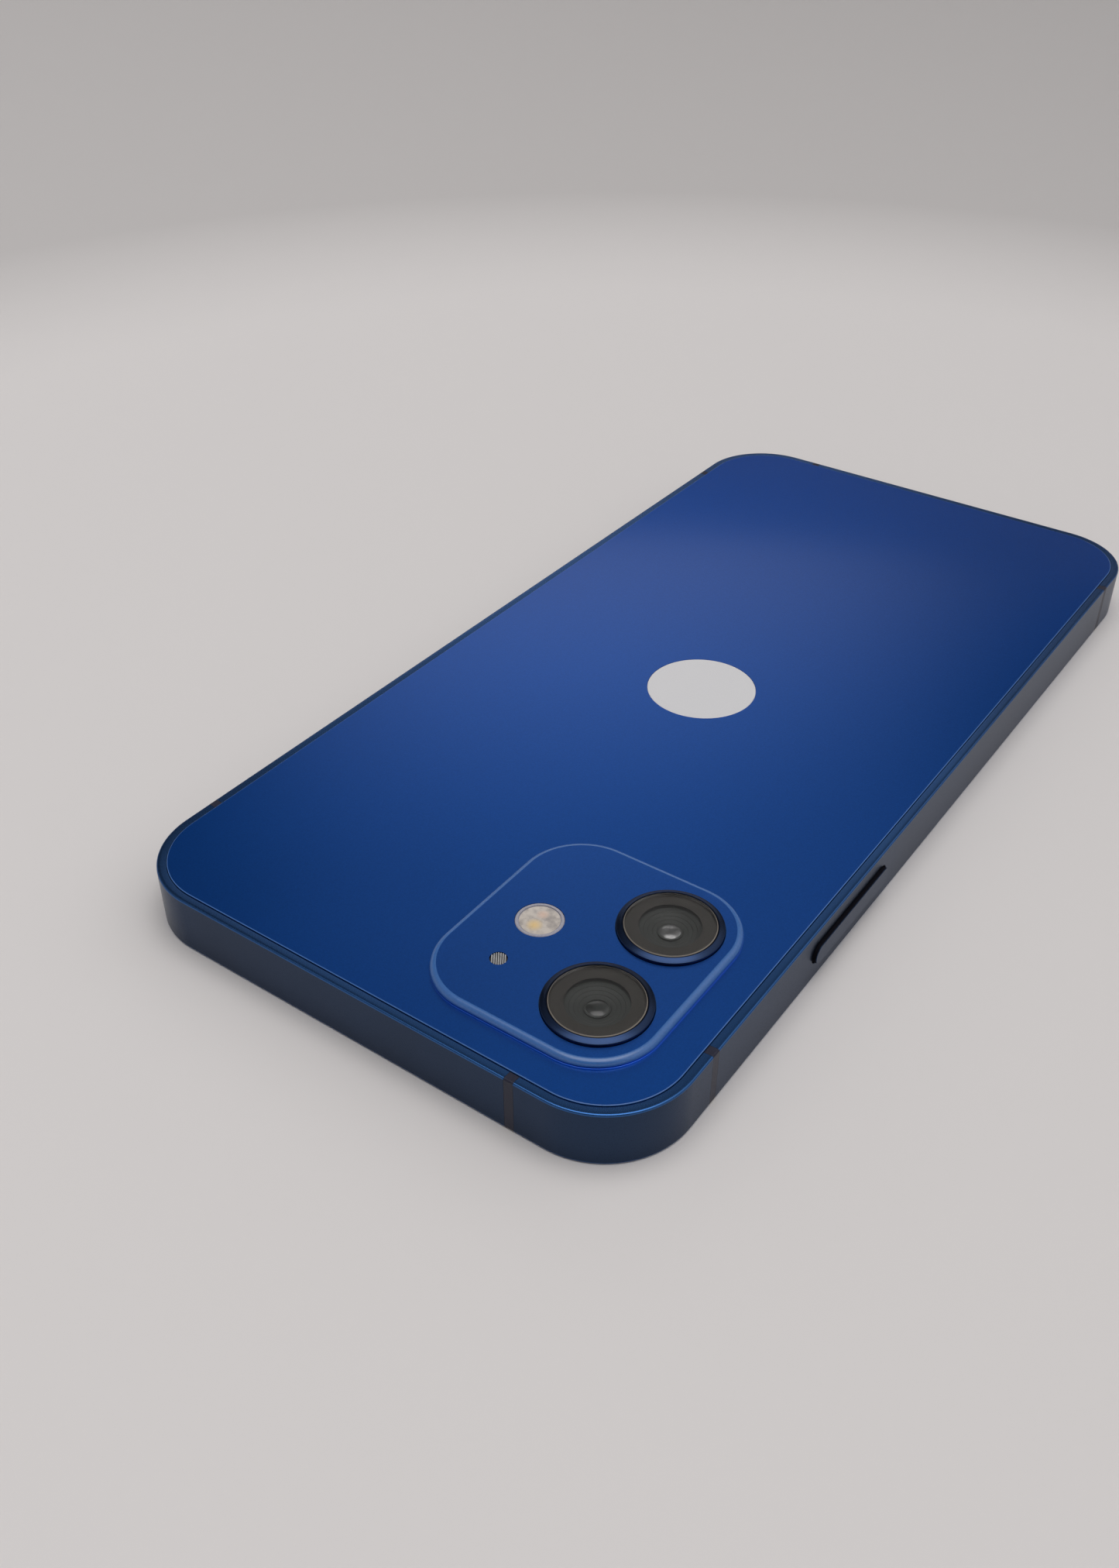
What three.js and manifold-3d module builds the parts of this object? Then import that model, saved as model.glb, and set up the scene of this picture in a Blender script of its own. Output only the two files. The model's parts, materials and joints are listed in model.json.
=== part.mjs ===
// A smartphone, screen down: +Z is out of its back glass, +Y towards its earpiece end, units are millimetres.
// The origin is the centre of the display glass's outer face. The camera plateau and the side button are on -X,
// the volume buttons, the ring switch and the card tray on +X.

import * as THREE from "three";
import { mergeVertices } from "three/addons/utils/BufferGeometryUtils.js";
import Module from "manifold-3d";

const wasm = await Module();
wasm.setup();

// ---- Driving dimensions -------------------------------------------------------------------------------------

const WIDTH = 71.5;
const LENGTH = 146.7;
const THICKNESS = 7.4;
const CORNER_RADIUS = 10.7;

const HALF_WIDTH = WIDTH / 2;
const HALF_LENGTH = LENGTH / 2;
const MID_Z = THICKNESS / 2;

// Frame: distances in from its outer wall.
const EDGE_ROUND = 0.45;
const LIP_INSET = 0.9;
const GLASS_INSET = 1.15;
const WALL_INSET = 2.4;
const INNER_INSET = 2.5;

// Levels of the stacked layers, from the display up.
const FRAME_LOW_Z = 0.1;
const FRAME_HIGH_Z = 7.3;
const COVER_GLASS_TOP = 0.8;
const SEAL_TOP = 0.9;
const PANEL_TOP = 1.9;
const BACK_PLATE_TOP = 2.15;
const INSIDE_LOW_Z = 2.4;
const COIL_SHIELD_Z = 5.85;
const MIDFRAME_LOW_Z = 6.0;
const MIDFRAME_HIGH_Z = 6.5;
const BACK_GLASS_LOW_Z = 6.6;

// Antenna breaks: places along the frame where the metal is cut.
const BREAK_WIDTH = 1.2;
const SIDE_BREAK_Y = 58.3;
const END_BREAK_X = 20.9;

// Camera plateau.
const PLATEAU = { x: -16.7, y: 53.2, width: 27.6, length: 30.6, radius: 7.8, top: 8.25, edge: 0.45 };
const LENS_X = -22.65;
const LENSES = { wide: 46.05, ultrawide: 60.3 };
const RING = { radius: 6.0, bore: 4.6, low: 6.65, shoulder: 8.58, crest: 8.8, edge: 0.1 };
const COVER = { seatRadius: 5.25, radius: 5.2, low: 8.2, top: 8.85 };
const HOUSING = { halfWidth: 6.2, top: 6.4, bore: 4.35, floor: 3.2 };
const BARREL = { radius: 4.2, noseRadius: 3.9, coneRadius: 2.9, low: 3.4, top: 7.75 };
const FRONT_ELEMENT = { radius: 1.5, z: 7.2 };
const FLASH = { x: -10.25, y: 53.3, radius: 2.76, low: 7.5, top: 8.28 };
const FLASH_LED = { radius: 1.9, low: 6.65, top: 7.45 };
const REAR_MICROPHONE = { x: -10.25, y: 60.8, radius: 0.97, low: 7.9, top: 8.2, bore: 0.6 };

// Round mark set into the back glass.
const MARK = { x: 0, y: 1.5, radius: 7.4, depth: 0.15 };

// Buttons: pills in pockets of the frame's side walls. y is each one's middle.
const BUTTON_HEIGHT = 2.5;
const BUTTON_PROUD = 0.45;
const BUTTON_INSIDE = 1.35;
const BUTTON_TRAVEL = 0.3;
const BUTTON_GAP = 0.08;
const STEM_RADIUS = 0.55;
const STEM_SPREAD = 0.294;
const SIDE_BUTTON = { y: 27.5, length: 18.5 };
const VOLUME_UP = { y: 33.4, length: 10.4 };
const VOLUME_DOWN = { y: 19.2, length: 10.4 };
const RING_SWITCH = {
  y: 47.3, slotLength: 6.2, slotHeight: 2.9, slotDepth: 1.1, length: 4.4, height: 1.5, proud: 0.4, travel: 1.2,
  stemHalfWidth: 1, stemHalfHeight: 0.45,
};

// Card tray.
const TRAY = { y: -12, faceLength: 15.6, faceHeight: 2.5, faceDepth: 1.2, low: 3.35, high: 4.35 };
const TRAY_BODY = { lowX: 18.6, lowY: -16.6, highY: -4.8 };
const CARD = { lowX: 20.4, length: 12.3, y: -10.7, width: 8.8, low: 3.6, high: 4.27 };
const PLUNGER = { y: -18.2, radius: 0.55, lowX: 16.3, highX: 34.3 };
const READER = { lowX: 17.3, low: 2.55, high: 4.65, beyondPlunger: 3.2, beyondTray: 0.9 };
const LEVER = { x: 15.5, y: -14, halfWidth: 0.7, reachPlunger: 5.2, reachTray: 5, bore: 0.65, pin: 0.55 };

// Bottom end: charging port, screws and sound holes.
const PORT = { width: 9, height: 3.2, innerWidth: 8.6, innerHeight: 2.8, depth: 8.8 };
const PORT_SHELL = { halfWidth: 6.4, low: 2.25, high: 5.35, wall: 1.6, round: 0.6 };
const TONGUE = { halfWidth: 3.3, halfHeight: 0.35, length: 5.4 };
const SCREW = { x: 8, headRadius: 1.05, headDepth: 0.85, radius: 0.62, length: 4.6, socket: 0.45, sunk: 0.05 };
const SCREW_HOLE = { headRadius: 1.15, headDepth: 0.95, radius: 0.7 };
const SPEAKER = { x0: -32.6, x1: -10.2, length: 17.5, top: 5.8, round: 2 };
const HAPTIC = { x0: 10.6, x1: 32.2, y0: -68, y1: -54.2, top: 5.8, lid: 0.5 };
const HAPTIC_CHAMBER = { x0: 11.2, x1: 31.6, y0: -66.9, y1: -54.8 };
const HAPTIC_MASS = { x0: 13.7, x1: 29.1, y0: -66.6, y1: -55.1, low: 2.6, high: 5.1 };
const HAPTIC_SPRING = { y0: -66.3, y1: -55.4, low: 2.7, high: 5.0, bow: 1.3, leaf: 0.25 };
const SOUND_HOLE_RADIUS = 0.75;
const SOUND_HOLE_START = 12.2;
const SOUND_HOLE_PITCH = 2.3;
const SPEAKER_HOLES = 6;
const MICROPHONE_HOLES = 3;

// Charging coil and its magnets, centred on the back.
const MAGNETS = { inner: 23, outer: 27 };
const COIL = { inner: 9, outer: 21.5, high: 6.4 };
const COIL_WELL_RADIUS = 28;

// Battery, boards and front modules.
const BATTERY = { x0: -31.2, x1: 8, y0: -50.5, y1: 34, top: 5.75 };
const BOARD = { x0: 10.2, x1: 31, y0: -37, y1: 60, armX: -12, armY: 36.5, low: 4.75, high: 5.4 };
const SHIELD = { x0: 11.2, x1: 30, y0: 1.5, y1: 58.5 };
const MODULES = { y0: 64.2, y1: 70.6, high: 4.6 };
const EARPIECE_SPEAKER = { halfWidth: 7, y1: 70.4 };
const FRONT_MODULE = { x: 11.5, halfWidth: 3.4, noseY: 67.4, noseRadius: 2.2 };

// Facets: segments of a quarter round, and of a full circle by its size.
const CORNER_SEGMENTS = 6;
const SMALL_CORNER_SEGMENTS = 2;
const PILL_SEGMENTS = 4;
const FINE_CIRCLE = 32;
const CIRCLE = 24;
const SMALL_CIRCLE = 12;

// ---- Materials ----------------------------------------------------------------------------------------------

const finish = (color, roughness, metalness) => () =>
  new THREE.MeshStandardMaterial({ color, roughness, metalness });

const blueGlass = finish(0x1c4486, 0.12, 0);
const blueMetal = finish(0x2c4a78, 0.35, 0.8);
const antennaPlastic = finish(0x34344a, 0.5, 0);
const blackGlass = finish(0x08090b, 0.05, 0);
const blackPlastic = finish(0x121214, 0.5, 0);
const clearGlass = finish(0x20262a, 0.05, 0);
const silver = finish(0xc9ccd2, 0.3, 0.6);
const steel = finish(0x9a9da3, 0.35, 0.9);
const aluminium = finish(0xa9adb2, 0.5, 0.8);
const copper = finish(0xb36a3c, 0.4, 0.8);
const magnetGrey = finish(0x6d7076, 0.5, 0.6);
const boardGreen = finish(0x16211c, 0.6, 0);
const batteryBlack = finish(0x1a1b1e, 0.6, 0);
const creamPlastic = finish(0xe9e4cf, 0.4, 0);
const rubberGrey = finish(0x2a2a2c, 0.8, 0);
const meshGrey = finish(0x8d9097, 0.5, 0.5);
const tungsten = finish(0x5b5c60, 0.4, 0.9);
const cardWhite = finish(0xe6e6e3, 0.6, 0);

// ---- Solids -------------------------------------------------------------------------------------------------

// A closed geometry as a manifold solid, from its positions alone.
function solidOf(geometry) {
  geometry.deleteAttribute("normal");
  geometry.deleteAttribute("uv");
  const merged = mergeVertices(geometry, 1e-4);
  const vertProperties = new Float32Array(merged.attributes.position.array);
  const triVerts = new Uint32Array(merged.index.array);
  return new wasm.Manifold(new wasm.Mesh({ numProp: 3, vertProperties, triVerts }));
}

// A rounded rectangle between two corners.
function roundedRect(x0, x1, y0, y1, radius) {
  const shape = new THREE.Shape();
  shape.moveTo(x0 + radius, y0);
  shape.lineTo(x1 - radius, y0);
  shape.absarc(x1 - radius, y0 + radius, radius, -Math.PI / 2, 0);
  shape.lineTo(x1, y1 - radius);
  shape.absarc(x1 - radius, y1 - radius, radius, 0, Math.PI / 2);
  shape.lineTo(x0 + radius, y1);
  shape.absarc(x0 + radius, y1 - radius, radius, Math.PI / 2, Math.PI);
  shape.lineTo(x0, y0 + radius);
  shape.absarc(x0 + radius, y0 + radius, radius, Math.PI, 1.5 * Math.PI);
  return shape;
}

// The phone's outline, drawn in by inset on every side.
const outline = (inset) =>
  roundedRect(
    -HALF_WIDTH + inset,
    HALF_WIDTH - inset,
    -HALF_LENGTH + inset,
    HALF_LENGTH - inset,
    CORNER_RADIUS - inset,
  );

// A pill lying along X, centred on the origin.
function pill(length, height) {
  const radius = height / 2;
  const reach = length / 2 - radius;
  const shape = new THREE.Shape();
  shape.moveTo(-reach, -radius);
  shape.lineTo(reach, -radius);
  shape.absarc(reach, 0, radius, -Math.PI / 2, Math.PI / 2);
  shape.lineTo(-reach, radius);
  shape.absarc(-reach, 0, radius, Math.PI / 2, 1.5 * Math.PI);
  return shape;
}

const circle = (radius) => new THREE.Shape().absarc(0, 0, radius, 0, 2 * Math.PI);

// A shape extruded from z = low to z = high, its outer edges rounded by edge.
function slab(shape, low, high, edge = 0, curveSegments = CORNER_SEGMENTS) {
  const geometry = new THREE.ExtrudeGeometry(shape, {
    depth: high - low - 2 * edge,
    curveSegments,
    bevelEnabled: edge > 0,
    bevelThickness: edge,
    bevelSize: edge,
    bevelOffset: -edge,
    bevelSegments: edge > 0.2 ? 2 : 1,
  });
  geometry.translate(0, 0, low + edge);
  return solidOf(geometry);
}

const SIDEWAYS = new THREE.Matrix4().set(0, 0, 1, 0, 1, 0, 0, 0, 0, 1, 0, 0, 0, 0, 0, 1);

// A shape extruded through a side wall, from x = low to x = high, with its X along the wall and its Y up.
function sideSlab(shape, low, high, y, z, edge = 0) {
  const laid = slab(shape, low, high, edge, PILL_SEGMENTS).transform(SIDEWAYS.elements);
  return laid.translate([0, y, z]);
}

const ENDWAYS = new THREE.Matrix4().set(-1, 0, 0, 0, 0, 0, 1, 0, 0, 1, 0, 0, 0, 0, 0, 1);

// A shape extruded through an end wall, from y = low to y = high, with its X across and its Y up.
function endSlab(shape, low, high, x, z) {
  const laid = slab(shape, low, high, 0, PILL_SEGMENTS).transform(ENDWAYS.elements);
  return laid.translate([x, 0, z]);
}

function block(x0, x1, y0, y1, z0, z1) {
  const geometry = new THREE.BoxGeometry(x1 - x0, y1 - y0, z1 - z0);
  geometry.translate((x0 + x1) / 2, (y0 + y1) / 2, (z0 + z1) / 2);
  return solidOf(geometry);
}

// A solid of revolution about the vertical through (x, y), from [radius, z] points.
function turned(x, y, profile, segments = CIRCLE) {
  const geometry = new THREE.LatheGeometry(
    profile.map(([radius, z]) => new THREE.Vector2(radius, z)),
    segments,
  );
  geometry.rotateX(Math.PI / 2);
  geometry.translate(x, y, 0);
  return solidOf(geometry);
}

const disc = (x, y, radius, low, high, segments) =>
  turned(x, y, [[0, low], [radius, low], [radius, high], [0, high]], segments);

const ring = (x, y, inner, outer, low, high, segments) =>
  disc(x, y, outer, low, high, segments).subtract(disc(x, y, inner, low - 1, high + 1, segments));

const union = (solids) => solids.reduce((whole, next) => whole.add(next));

const cut = (solid, tools) => tools.reduce((rest, tool) => rest.subtract(tool), solid);

// ---- The model ----------------------------------------------------------------------------------------------

const phone = new THREE.Group();
phone.name = "smartphone";

// Adds one sub-part: a named mesh of a solid, with its own material.
function add(name, solid, material) {
  const { vertProperties, triVerts } = solid.getMesh();
  const geometry = new THREE.BufferGeometry();
  geometry.setAttribute("position", new THREE.BufferAttribute(vertProperties, 3));
  geometry.setIndex(new THREE.BufferAttribute(triVerts, 1));
  geometry.computeVertexNormals();
  const mesh = new THREE.Mesh(geometry, material());
  mesh.name = name;
  phone.add(mesh);
}

// ---- Display ------------------------------------------------------------------------------------------------

const NOTCH = { halfWidth: 17.4, depth: 6.2 };
const EARPIECE = { halfWidth: 4.2, depth: 0.55 };
const PANEL_INSET = 2.6;

function addDisplay() {
  const glassEnd = HALF_LENGTH - GLASS_INSET;
  const earpieceSlot = block(
    -EARPIECE.halfWidth, EARPIECE.halfWidth, glassEnd - EARPIECE.depth, HALF_LENGTH, -1, COVER_GLASS_TOP + 1,
  );
  const glass = slab(outline(GLASS_INSET), 0, COVER_GLASS_TOP, 0.12);
  add("display_cover_glass", glass.subtract(earpieceSlot), blackGlass);

  const mesh = block(
    -EARPIECE.halfWidth + 0.05, EARPIECE.halfWidth - 0.05, glassEnd - EARPIECE.depth + 0.05, glassEnd, 0.15,
    COVER_GLASS_TOP,
  );
  add("earpiece_mesh", mesh, meshGrey);

  const sealOuter = slab(outline(GLASS_INSET + 0.1), COVER_GLASS_TOP, SEAL_TOP);
  const sealInner = slab(outline(WALL_INSET), 0, THICKNESS);
  add("display_seal", sealOuter.subtract(sealInner), rubberGrey);

  const panel = slab(outline(PANEL_INSET), COVER_GLASS_TOP, PANEL_TOP);
  const notch = block(
    -NOTCH.halfWidth, NOTCH.halfWidth, HALF_LENGTH - PANEL_INSET - NOTCH.depth, HALF_LENGTH, 0, THICKNESS,
  );
  add("display_panel", panel.subtract(notch), blackPlastic);

  const plateEnd = HALF_LENGTH - PANEL_INSET - NOTCH.depth - 0.6;
  const plate = roundedRect(-HALF_WIDTH + 4.2, HALF_WIDTH - 4.2, -HALF_LENGTH + 4.2, plateEnd, 5);
  add("display_back_plate", slab(plate, PANEL_TOP, BACK_PLATE_TOP), steel);
}

// ---- Frame --------------------------------------------------------------------------------------------------

// A pocket for a button and the two holes of its stems. side is -1 or 1.
function buttonCuts(side, button) {
  const wall = side * HALF_WIDTH;
  const floor = side * (HALF_WIDTH - BUTTON_INSIDE - BUTTON_TRAVEL - 0.05);
  const inside = side * (HALF_WIDTH - WALL_INSET - 1);
  const pocket = pill(button.length + 2 * BUTTON_GAP, BUTTON_HEIGHT + 2 * BUTTON_GAP);
  const beyond = wall + side;
  const holes = [-1, 1].map((end) =>
    sideSlab(
      circle(STEM_RADIUS + 0.1),
      Math.min(inside, wall), Math.max(inside, wall), button.y + end * button.length * STEM_SPREAD, MID_Z,
    ),
  );
  return [sideSlab(pocket, Math.min(floor, beyond), Math.max(floor, beyond), button.y, MID_Z), ...holes];
}

function ringSwitchCuts() {
  const { y, slotLength, slotHeight, slotDepth, stemHalfWidth, stemHalfHeight, travel } = RING_SWITCH;
  const halfWidth = stemHalfWidth + 0.1;
  const reach = stemHalfHeight + travel / 2 + 0.1;
  return [
    sideSlab(pill(slotLength, slotHeight), HALF_WIDTH - slotDepth, HALF_WIDTH + 1, y, MID_Z),
    block(HALF_WIDTH - WALL_INSET - 1, HALF_WIDTH, y - halfWidth, y + halfWidth, MID_Z - reach, MID_Z + reach),
  ];
}

function trayCuts() {
  const face = pill(TRAY.faceLength + 0.12, TRAY.faceHeight + 0.12);
  const inside = HALF_WIDTH - WALL_INSET - 1;
  return [
    sideSlab(face, HALF_WIDTH - TRAY.faceDepth - 0.05, HALF_WIDTH + 1, TRAY.y, MID_Z),
    block(inside, HALF_WIDTH, TRAY_BODY.lowY - 0.1, TRAY_BODY.highY + 0.1, TRAY.low - 0.1, TRAY.high + 0.1),
    sideSlab(circle(0.7), inside, HALF_WIDTH, PLUNGER.y, MID_Z),
  ];
}

function bottomCuts() {
  const outside = -HALF_LENGTH - 1;
  const inside = -HALF_LENGTH + WALL_INSET + 1;
  const cuts = [endSlab(pill(PORT.width, PORT.height), outside, inside, 0, MID_Z)];
  for (const side of [-1, 1]) {
    const headEnd = -HALF_LENGTH + SCREW_HOLE.headDepth;
    cuts.push(endSlab(circle(SCREW_HOLE.headRadius), outside, headEnd, side * SCREW.x, MID_Z));
    cuts.push(endSlab(circle(SCREW_HOLE.radius), outside, inside, side * SCREW.x, MID_Z));
  }
  const hole = circle(SOUND_HOLE_RADIUS);
  for (let i = 0; i < SPEAKER_HOLES; i += 1)
    cuts.push(endSlab(hole, outside, inside, -SOUND_HOLE_START - i * SOUND_HOLE_PITCH, MID_Z));
  for (let i = 0; i < MICROPHONE_HOLES; i += 1)
    cuts.push(endSlab(hole, outside, inside, SOUND_HOLE_START + i * SOUND_HOLE_PITCH, MID_Z));
  return cuts;
}

// The whole frame before it is cut at the antenna breaks: a rounded wall with a ledge under each glass.
function wholeFrame() {
  const body = slab(outline(0), FRAME_LOW_Z, FRAME_HIGH_Z, EDGE_ROUND);
  return cut(body, [
    slab(outline(WALL_INSET), -1, THICKNESS + 1),
    slab(outline(LIP_INSET), -1, SEAL_TOP),
    slab(outline(LIP_INSET), MIDFRAME_HIGH_Z, THICKNESS + 1),
  ]);
}

function addFrame() {
  const frame = wholeFrame();
  const half = BREAK_WIDTH / 2;
  const farX = HALF_WIDTH + 5;
  const farY = HALF_LENGTH + 5;
  const low = -5;
  const high = THICKNESS + 5;

  const rail = (side) => {
    const region = block(
      Math.min(0, side * farX), Math.max(0, side * farX), -SIDE_BREAK_Y + half, SIDE_BREAK_Y - half, low, high,
    );
    return frame.intersect(region);
  };
  add("frame_rail_button_side", cut(rail(-1), buttonCuts(-1, SIDE_BUTTON)), blueMetal);
  const volumeSideCuts = [
    ...buttonCuts(1, VOLUME_UP),
    ...buttonCuts(1, VOLUME_DOWN),
    ...ringSwitchCuts(),
    ...trayCuts(),
  ];
  add("frame_rail_volume_side", cut(rail(1), volumeSideCuts), blueMetal);

  // An end piece runs from x0 to x1 across one end and down that side to the side's break.
  const endPiece = (x0, x1, end) => {
    const nearY = end * (SIDE_BREAK_Y + half);
    return frame.intersect(block(x0, x1, Math.min(nearY, end * farY), Math.max(nearY, end * farY), low, high));
  };
  add("frame_corner_camera", endPiece(-farX, -END_BREAK_X - half, 1), blueMetal);
  add("frame_top", endPiece(-END_BREAK_X + half, farX, 1), blueMetal);
  add("frame_bottom", cut(endPiece(-farX, END_BREAK_X - half, -1), bottomCuts()), blueMetal);
  add("frame_corner_haptic", endPiece(END_BREAK_X + half, farX, -1), blueMetal);

  const sideBreak = (side, end) => {
    const y = end * SIDE_BREAK_Y;
    return frame.intersect(
      block(Math.min(0, side * farX), Math.max(0, side * farX), y - half, y + half, low, high),
    );
  };
  add("antenna_break_button_side_upper", sideBreak(-1, 1), antennaPlastic);
  add("antenna_break_button_side_lower", sideBreak(-1, -1), antennaPlastic);
  add("antenna_break_volume_side_upper", sideBreak(1, 1), antennaPlastic);
  add("antenna_break_volume_side_lower", sideBreak(1, -1), antennaPlastic);

  const endBreak = (x, end) =>
    frame.intersect(block(x - half, x + half, Math.min(0, end * farY), Math.max(0, end * farY), low, high));
  add("antenna_break_top", endBreak(-END_BREAK_X, 1), antennaPlastic);
  add("antenna_break_bottom", endBreak(END_BREAK_X, -1), antennaPlastic);

  const plate = slab(outline(INNER_INSET), MIDFRAME_LOW_Z, MIDFRAME_HIGH_Z);
  const cameraWindow = roundedRect(LENS_X - 6.6, LENS_X + 6.6, LENSES.wide - 6.6, LENSES.ultrawide + 6.6, 2);
  const midframe = cut(plate, [
    disc(0, 0, COIL_WELL_RADIUS, 0, THICKNESS, FINE_CIRCLE),
    slab(cameraWindow, 0, THICKNESS),
    disc(FLASH.x, FLASH.y, FLASH_LED.radius + 0.3, 0, THICKNESS, SMALL_CIRCLE),
    disc(REAR_MICROPHONE.x, REAR_MICROPHONE.y, REAR_MICROPHONE.bore + 0.2, 0, THICKNESS, SMALL_CIRCLE),
  ]);
  add("midframe_plate", midframe, aluminium);
}

// ---- Back ---------------------------------------------------------------------------------------------------

function addBack() {
  const sheet = slab(outline(GLASS_INSET), BACK_GLASS_LOW_Z, THICKNESS, 0.15);
  const microphone = REAR_MICROPHONE;
  const { x, y, width, length, radius, top, edge } = PLATEAU;
  const plateauShape = roundedRect(x - width / 2, x + width / 2, y - length / 2, y + length / 2, radius);
  const plateau = slab(plateauShape, BACK_GLASS_LOW_Z + 0.2, top, edge);
  const lensHoles = Object.values(LENSES).map((lensY) =>
    disc(LENS_X, lensY, RING.radius + 0.05, 0, COVER.top, FINE_CIRCLE),
  );
  const back = cut(sheet.add(plateau), [
    ...lensHoles,
    disc(FLASH.x, FLASH.y, FLASH.radius + 0.04, FLASH.low, COVER.top, CIRCLE),
    disc(FLASH.x, FLASH.y, FLASH_LED.radius + 0.1, 0, COVER.top, SMALL_CIRCLE),
    disc(microphone.x, microphone.y, microphone.radius + 0.03, microphone.low, COVER.top, SMALL_CIRCLE),
    disc(microphone.x, microphone.y, microphone.bore, 0, COVER.top, SMALL_CIRCLE),
    disc(MARK.x, MARK.y, MARK.radius + 0.03, THICKNESS - MARK.depth, THICKNESS + 1, FINE_CIRCLE),
  ]);
  add("back_glass", back, blueGlass);
  add("rear_mark", disc(MARK.x, MARK.y, MARK.radius, THICKNESS - MARK.depth, THICKNESS, FINE_CIRCLE), silver);

  add("flash_lens", disc(FLASH.x, FLASH.y, FLASH.radius, FLASH.low, FLASH.top, CIRCLE), creamPlastic);
  const led = disc(FLASH.x, FLASH.y, FLASH_LED.radius, FLASH_LED.low, FLASH_LED.top, SMALL_CIRCLE);
  add("flash_led", led, creamPlastic);
  const { low, top: meshTop } = microphone;
  const mesh = disc(microphone.x, microphone.y, microphone.radius, low, meshTop, SMALL_CIRCLE);
  add("rear_microphone_mesh", mesh, meshGrey);
}

// ---- Cameras ------------------------------------------------------------------------------------------------

function addCamera(name, y) {
  // The ring's outer wall ends at a shoulder, and its top slopes up from there to the cover glass.
  const trim = [
    [RING.bore, RING.low],
    [RING.radius, RING.low],
    [RING.radius, RING.shoulder - RING.edge],
    [RING.radius - RING.edge, RING.shoulder],
    [COVER.seatRadius + 0.1, RING.crest],
    [COVER.seatRadius, RING.crest],
    [COVER.seatRadius, COVER.low],
    [RING.bore, COVER.low],
    [RING.bore, RING.low],
  ];
  add(`lens_ring_${name}`, turned(LENS_X, y, trim, FINE_CIRCLE), blueMetal);
  add(`lens_cover_${name}`, disc(LENS_X, y, COVER.radius, COVER.low, COVER.top, FINE_CIRCLE), clearGlass);

  const { halfWidth, top, bore, floor } = HOUSING;
  const box = roundedRect(LENS_X - halfWidth, LENS_X + halfWidth, y - halfWidth, y + halfWidth, 0.8);
  const base = slab(box, INSIDE_LOW_Z, top, 0, SMALL_CORNER_SEGMENTS);
  add(`camera_housing_${name}`, base.subtract(disc(LENS_X, y, bore, floor, THICKNESS, CIRCLE)), steel);

  const barrel = [
    [0, BARREL.low],
    [BARREL.radius, BARREL.low],
    [BARREL.radius, top - 0.2],
    [BARREL.noseRadius, top],
    [BARREL.noseRadius, BARREL.top],
    [BARREL.coneRadius, BARREL.top],
    [FRONT_ELEMENT.radius, FRONT_ELEMENT.z],
    [0, FRONT_ELEMENT.z],
  ];
  add(`lens_barrel_${name}`, turned(LENS_X, y, barrel, CIRCLE), blackPlastic);
}

// ---- Buttons ------------------------------------------------------------------------------------------------

// A pill cap with two stems that reach through the wall. side is -1 or 1.
function pushButton(side, button) {
  const outer = side * (HALF_WIDTH + BUTTON_PROUD);
  const inner = side * (HALF_WIDTH - BUTTON_INSIDE);
  const stemEnd = side * (HALF_WIDTH - WALL_INSET - 0.4);
  const low = Math.min(inner, outer);
  const high = Math.max(inner, outer);
  const cap = sideSlab(pill(button.length, BUTTON_HEIGHT), low, high, button.y, MID_Z, 0.3);
  const stems = [-1, 1].map((end) =>
    sideSlab(
      circle(STEM_RADIUS),
      Math.min(stemEnd, inner + side * 0.3), Math.max(stemEnd, inner + side * 0.3),
      button.y + end * button.length * STEM_SPREAD, MID_Z,
    ),
  );
  return union([cap, ...stems]);
}

// A strip of tactile switches behind the buttons, which the stems press at the end of their travel.
function switchStrip(side, y0, y1) {
  const near = side * (HALF_WIDTH - WALL_INSET - 0.4 - BUTTON_TRAVEL - 0.05);
  const far = near - side * 0.6;
  return block(Math.min(near, far), Math.max(near, far), y0, y1, MID_Z - 1.2, MID_Z + 0.9);
}

function addButtons() {
  add("side_button", pushButton(-1, SIDE_BUTTON), blueMetal);
  add("volume_up_button", pushButton(1, VOLUME_UP), blueMetal);
  add("volume_down_button", pushButton(1, VOLUME_DOWN), blueMetal);
  add("side_button_switch", switchStrip(-1, SIDE_BUTTON.y - 8, SIDE_BUTTON.y + 8), steel);
  add("volume_button_switch", switchStrip(1, VOLUME_DOWN.y - 5, VOLUME_UP.y + 5), steel);

  const { y, length, height, proud, travel, stemHalfWidth, stemHalfHeight } = RING_SWITCH;
  const z = MID_Z - travel / 2;
  const cap = sideSlab(pill(length, height), HALF_WIDTH - 1, HALF_WIDTH + proud, y, z, 0.2);
  const stem = block(
    HALF_WIDTH - WALL_INSET - 0.7, HALF_WIDTH - 0.6, y - stemHalfWidth, y + stemHalfWidth,
    z - stemHalfHeight, z + stemHalfHeight,
  );
  add("ring_switch", cap.add(stem), blueMetal);
}

// ---- Card tray and its ejector ------------------------------------------------------------------------------

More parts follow.
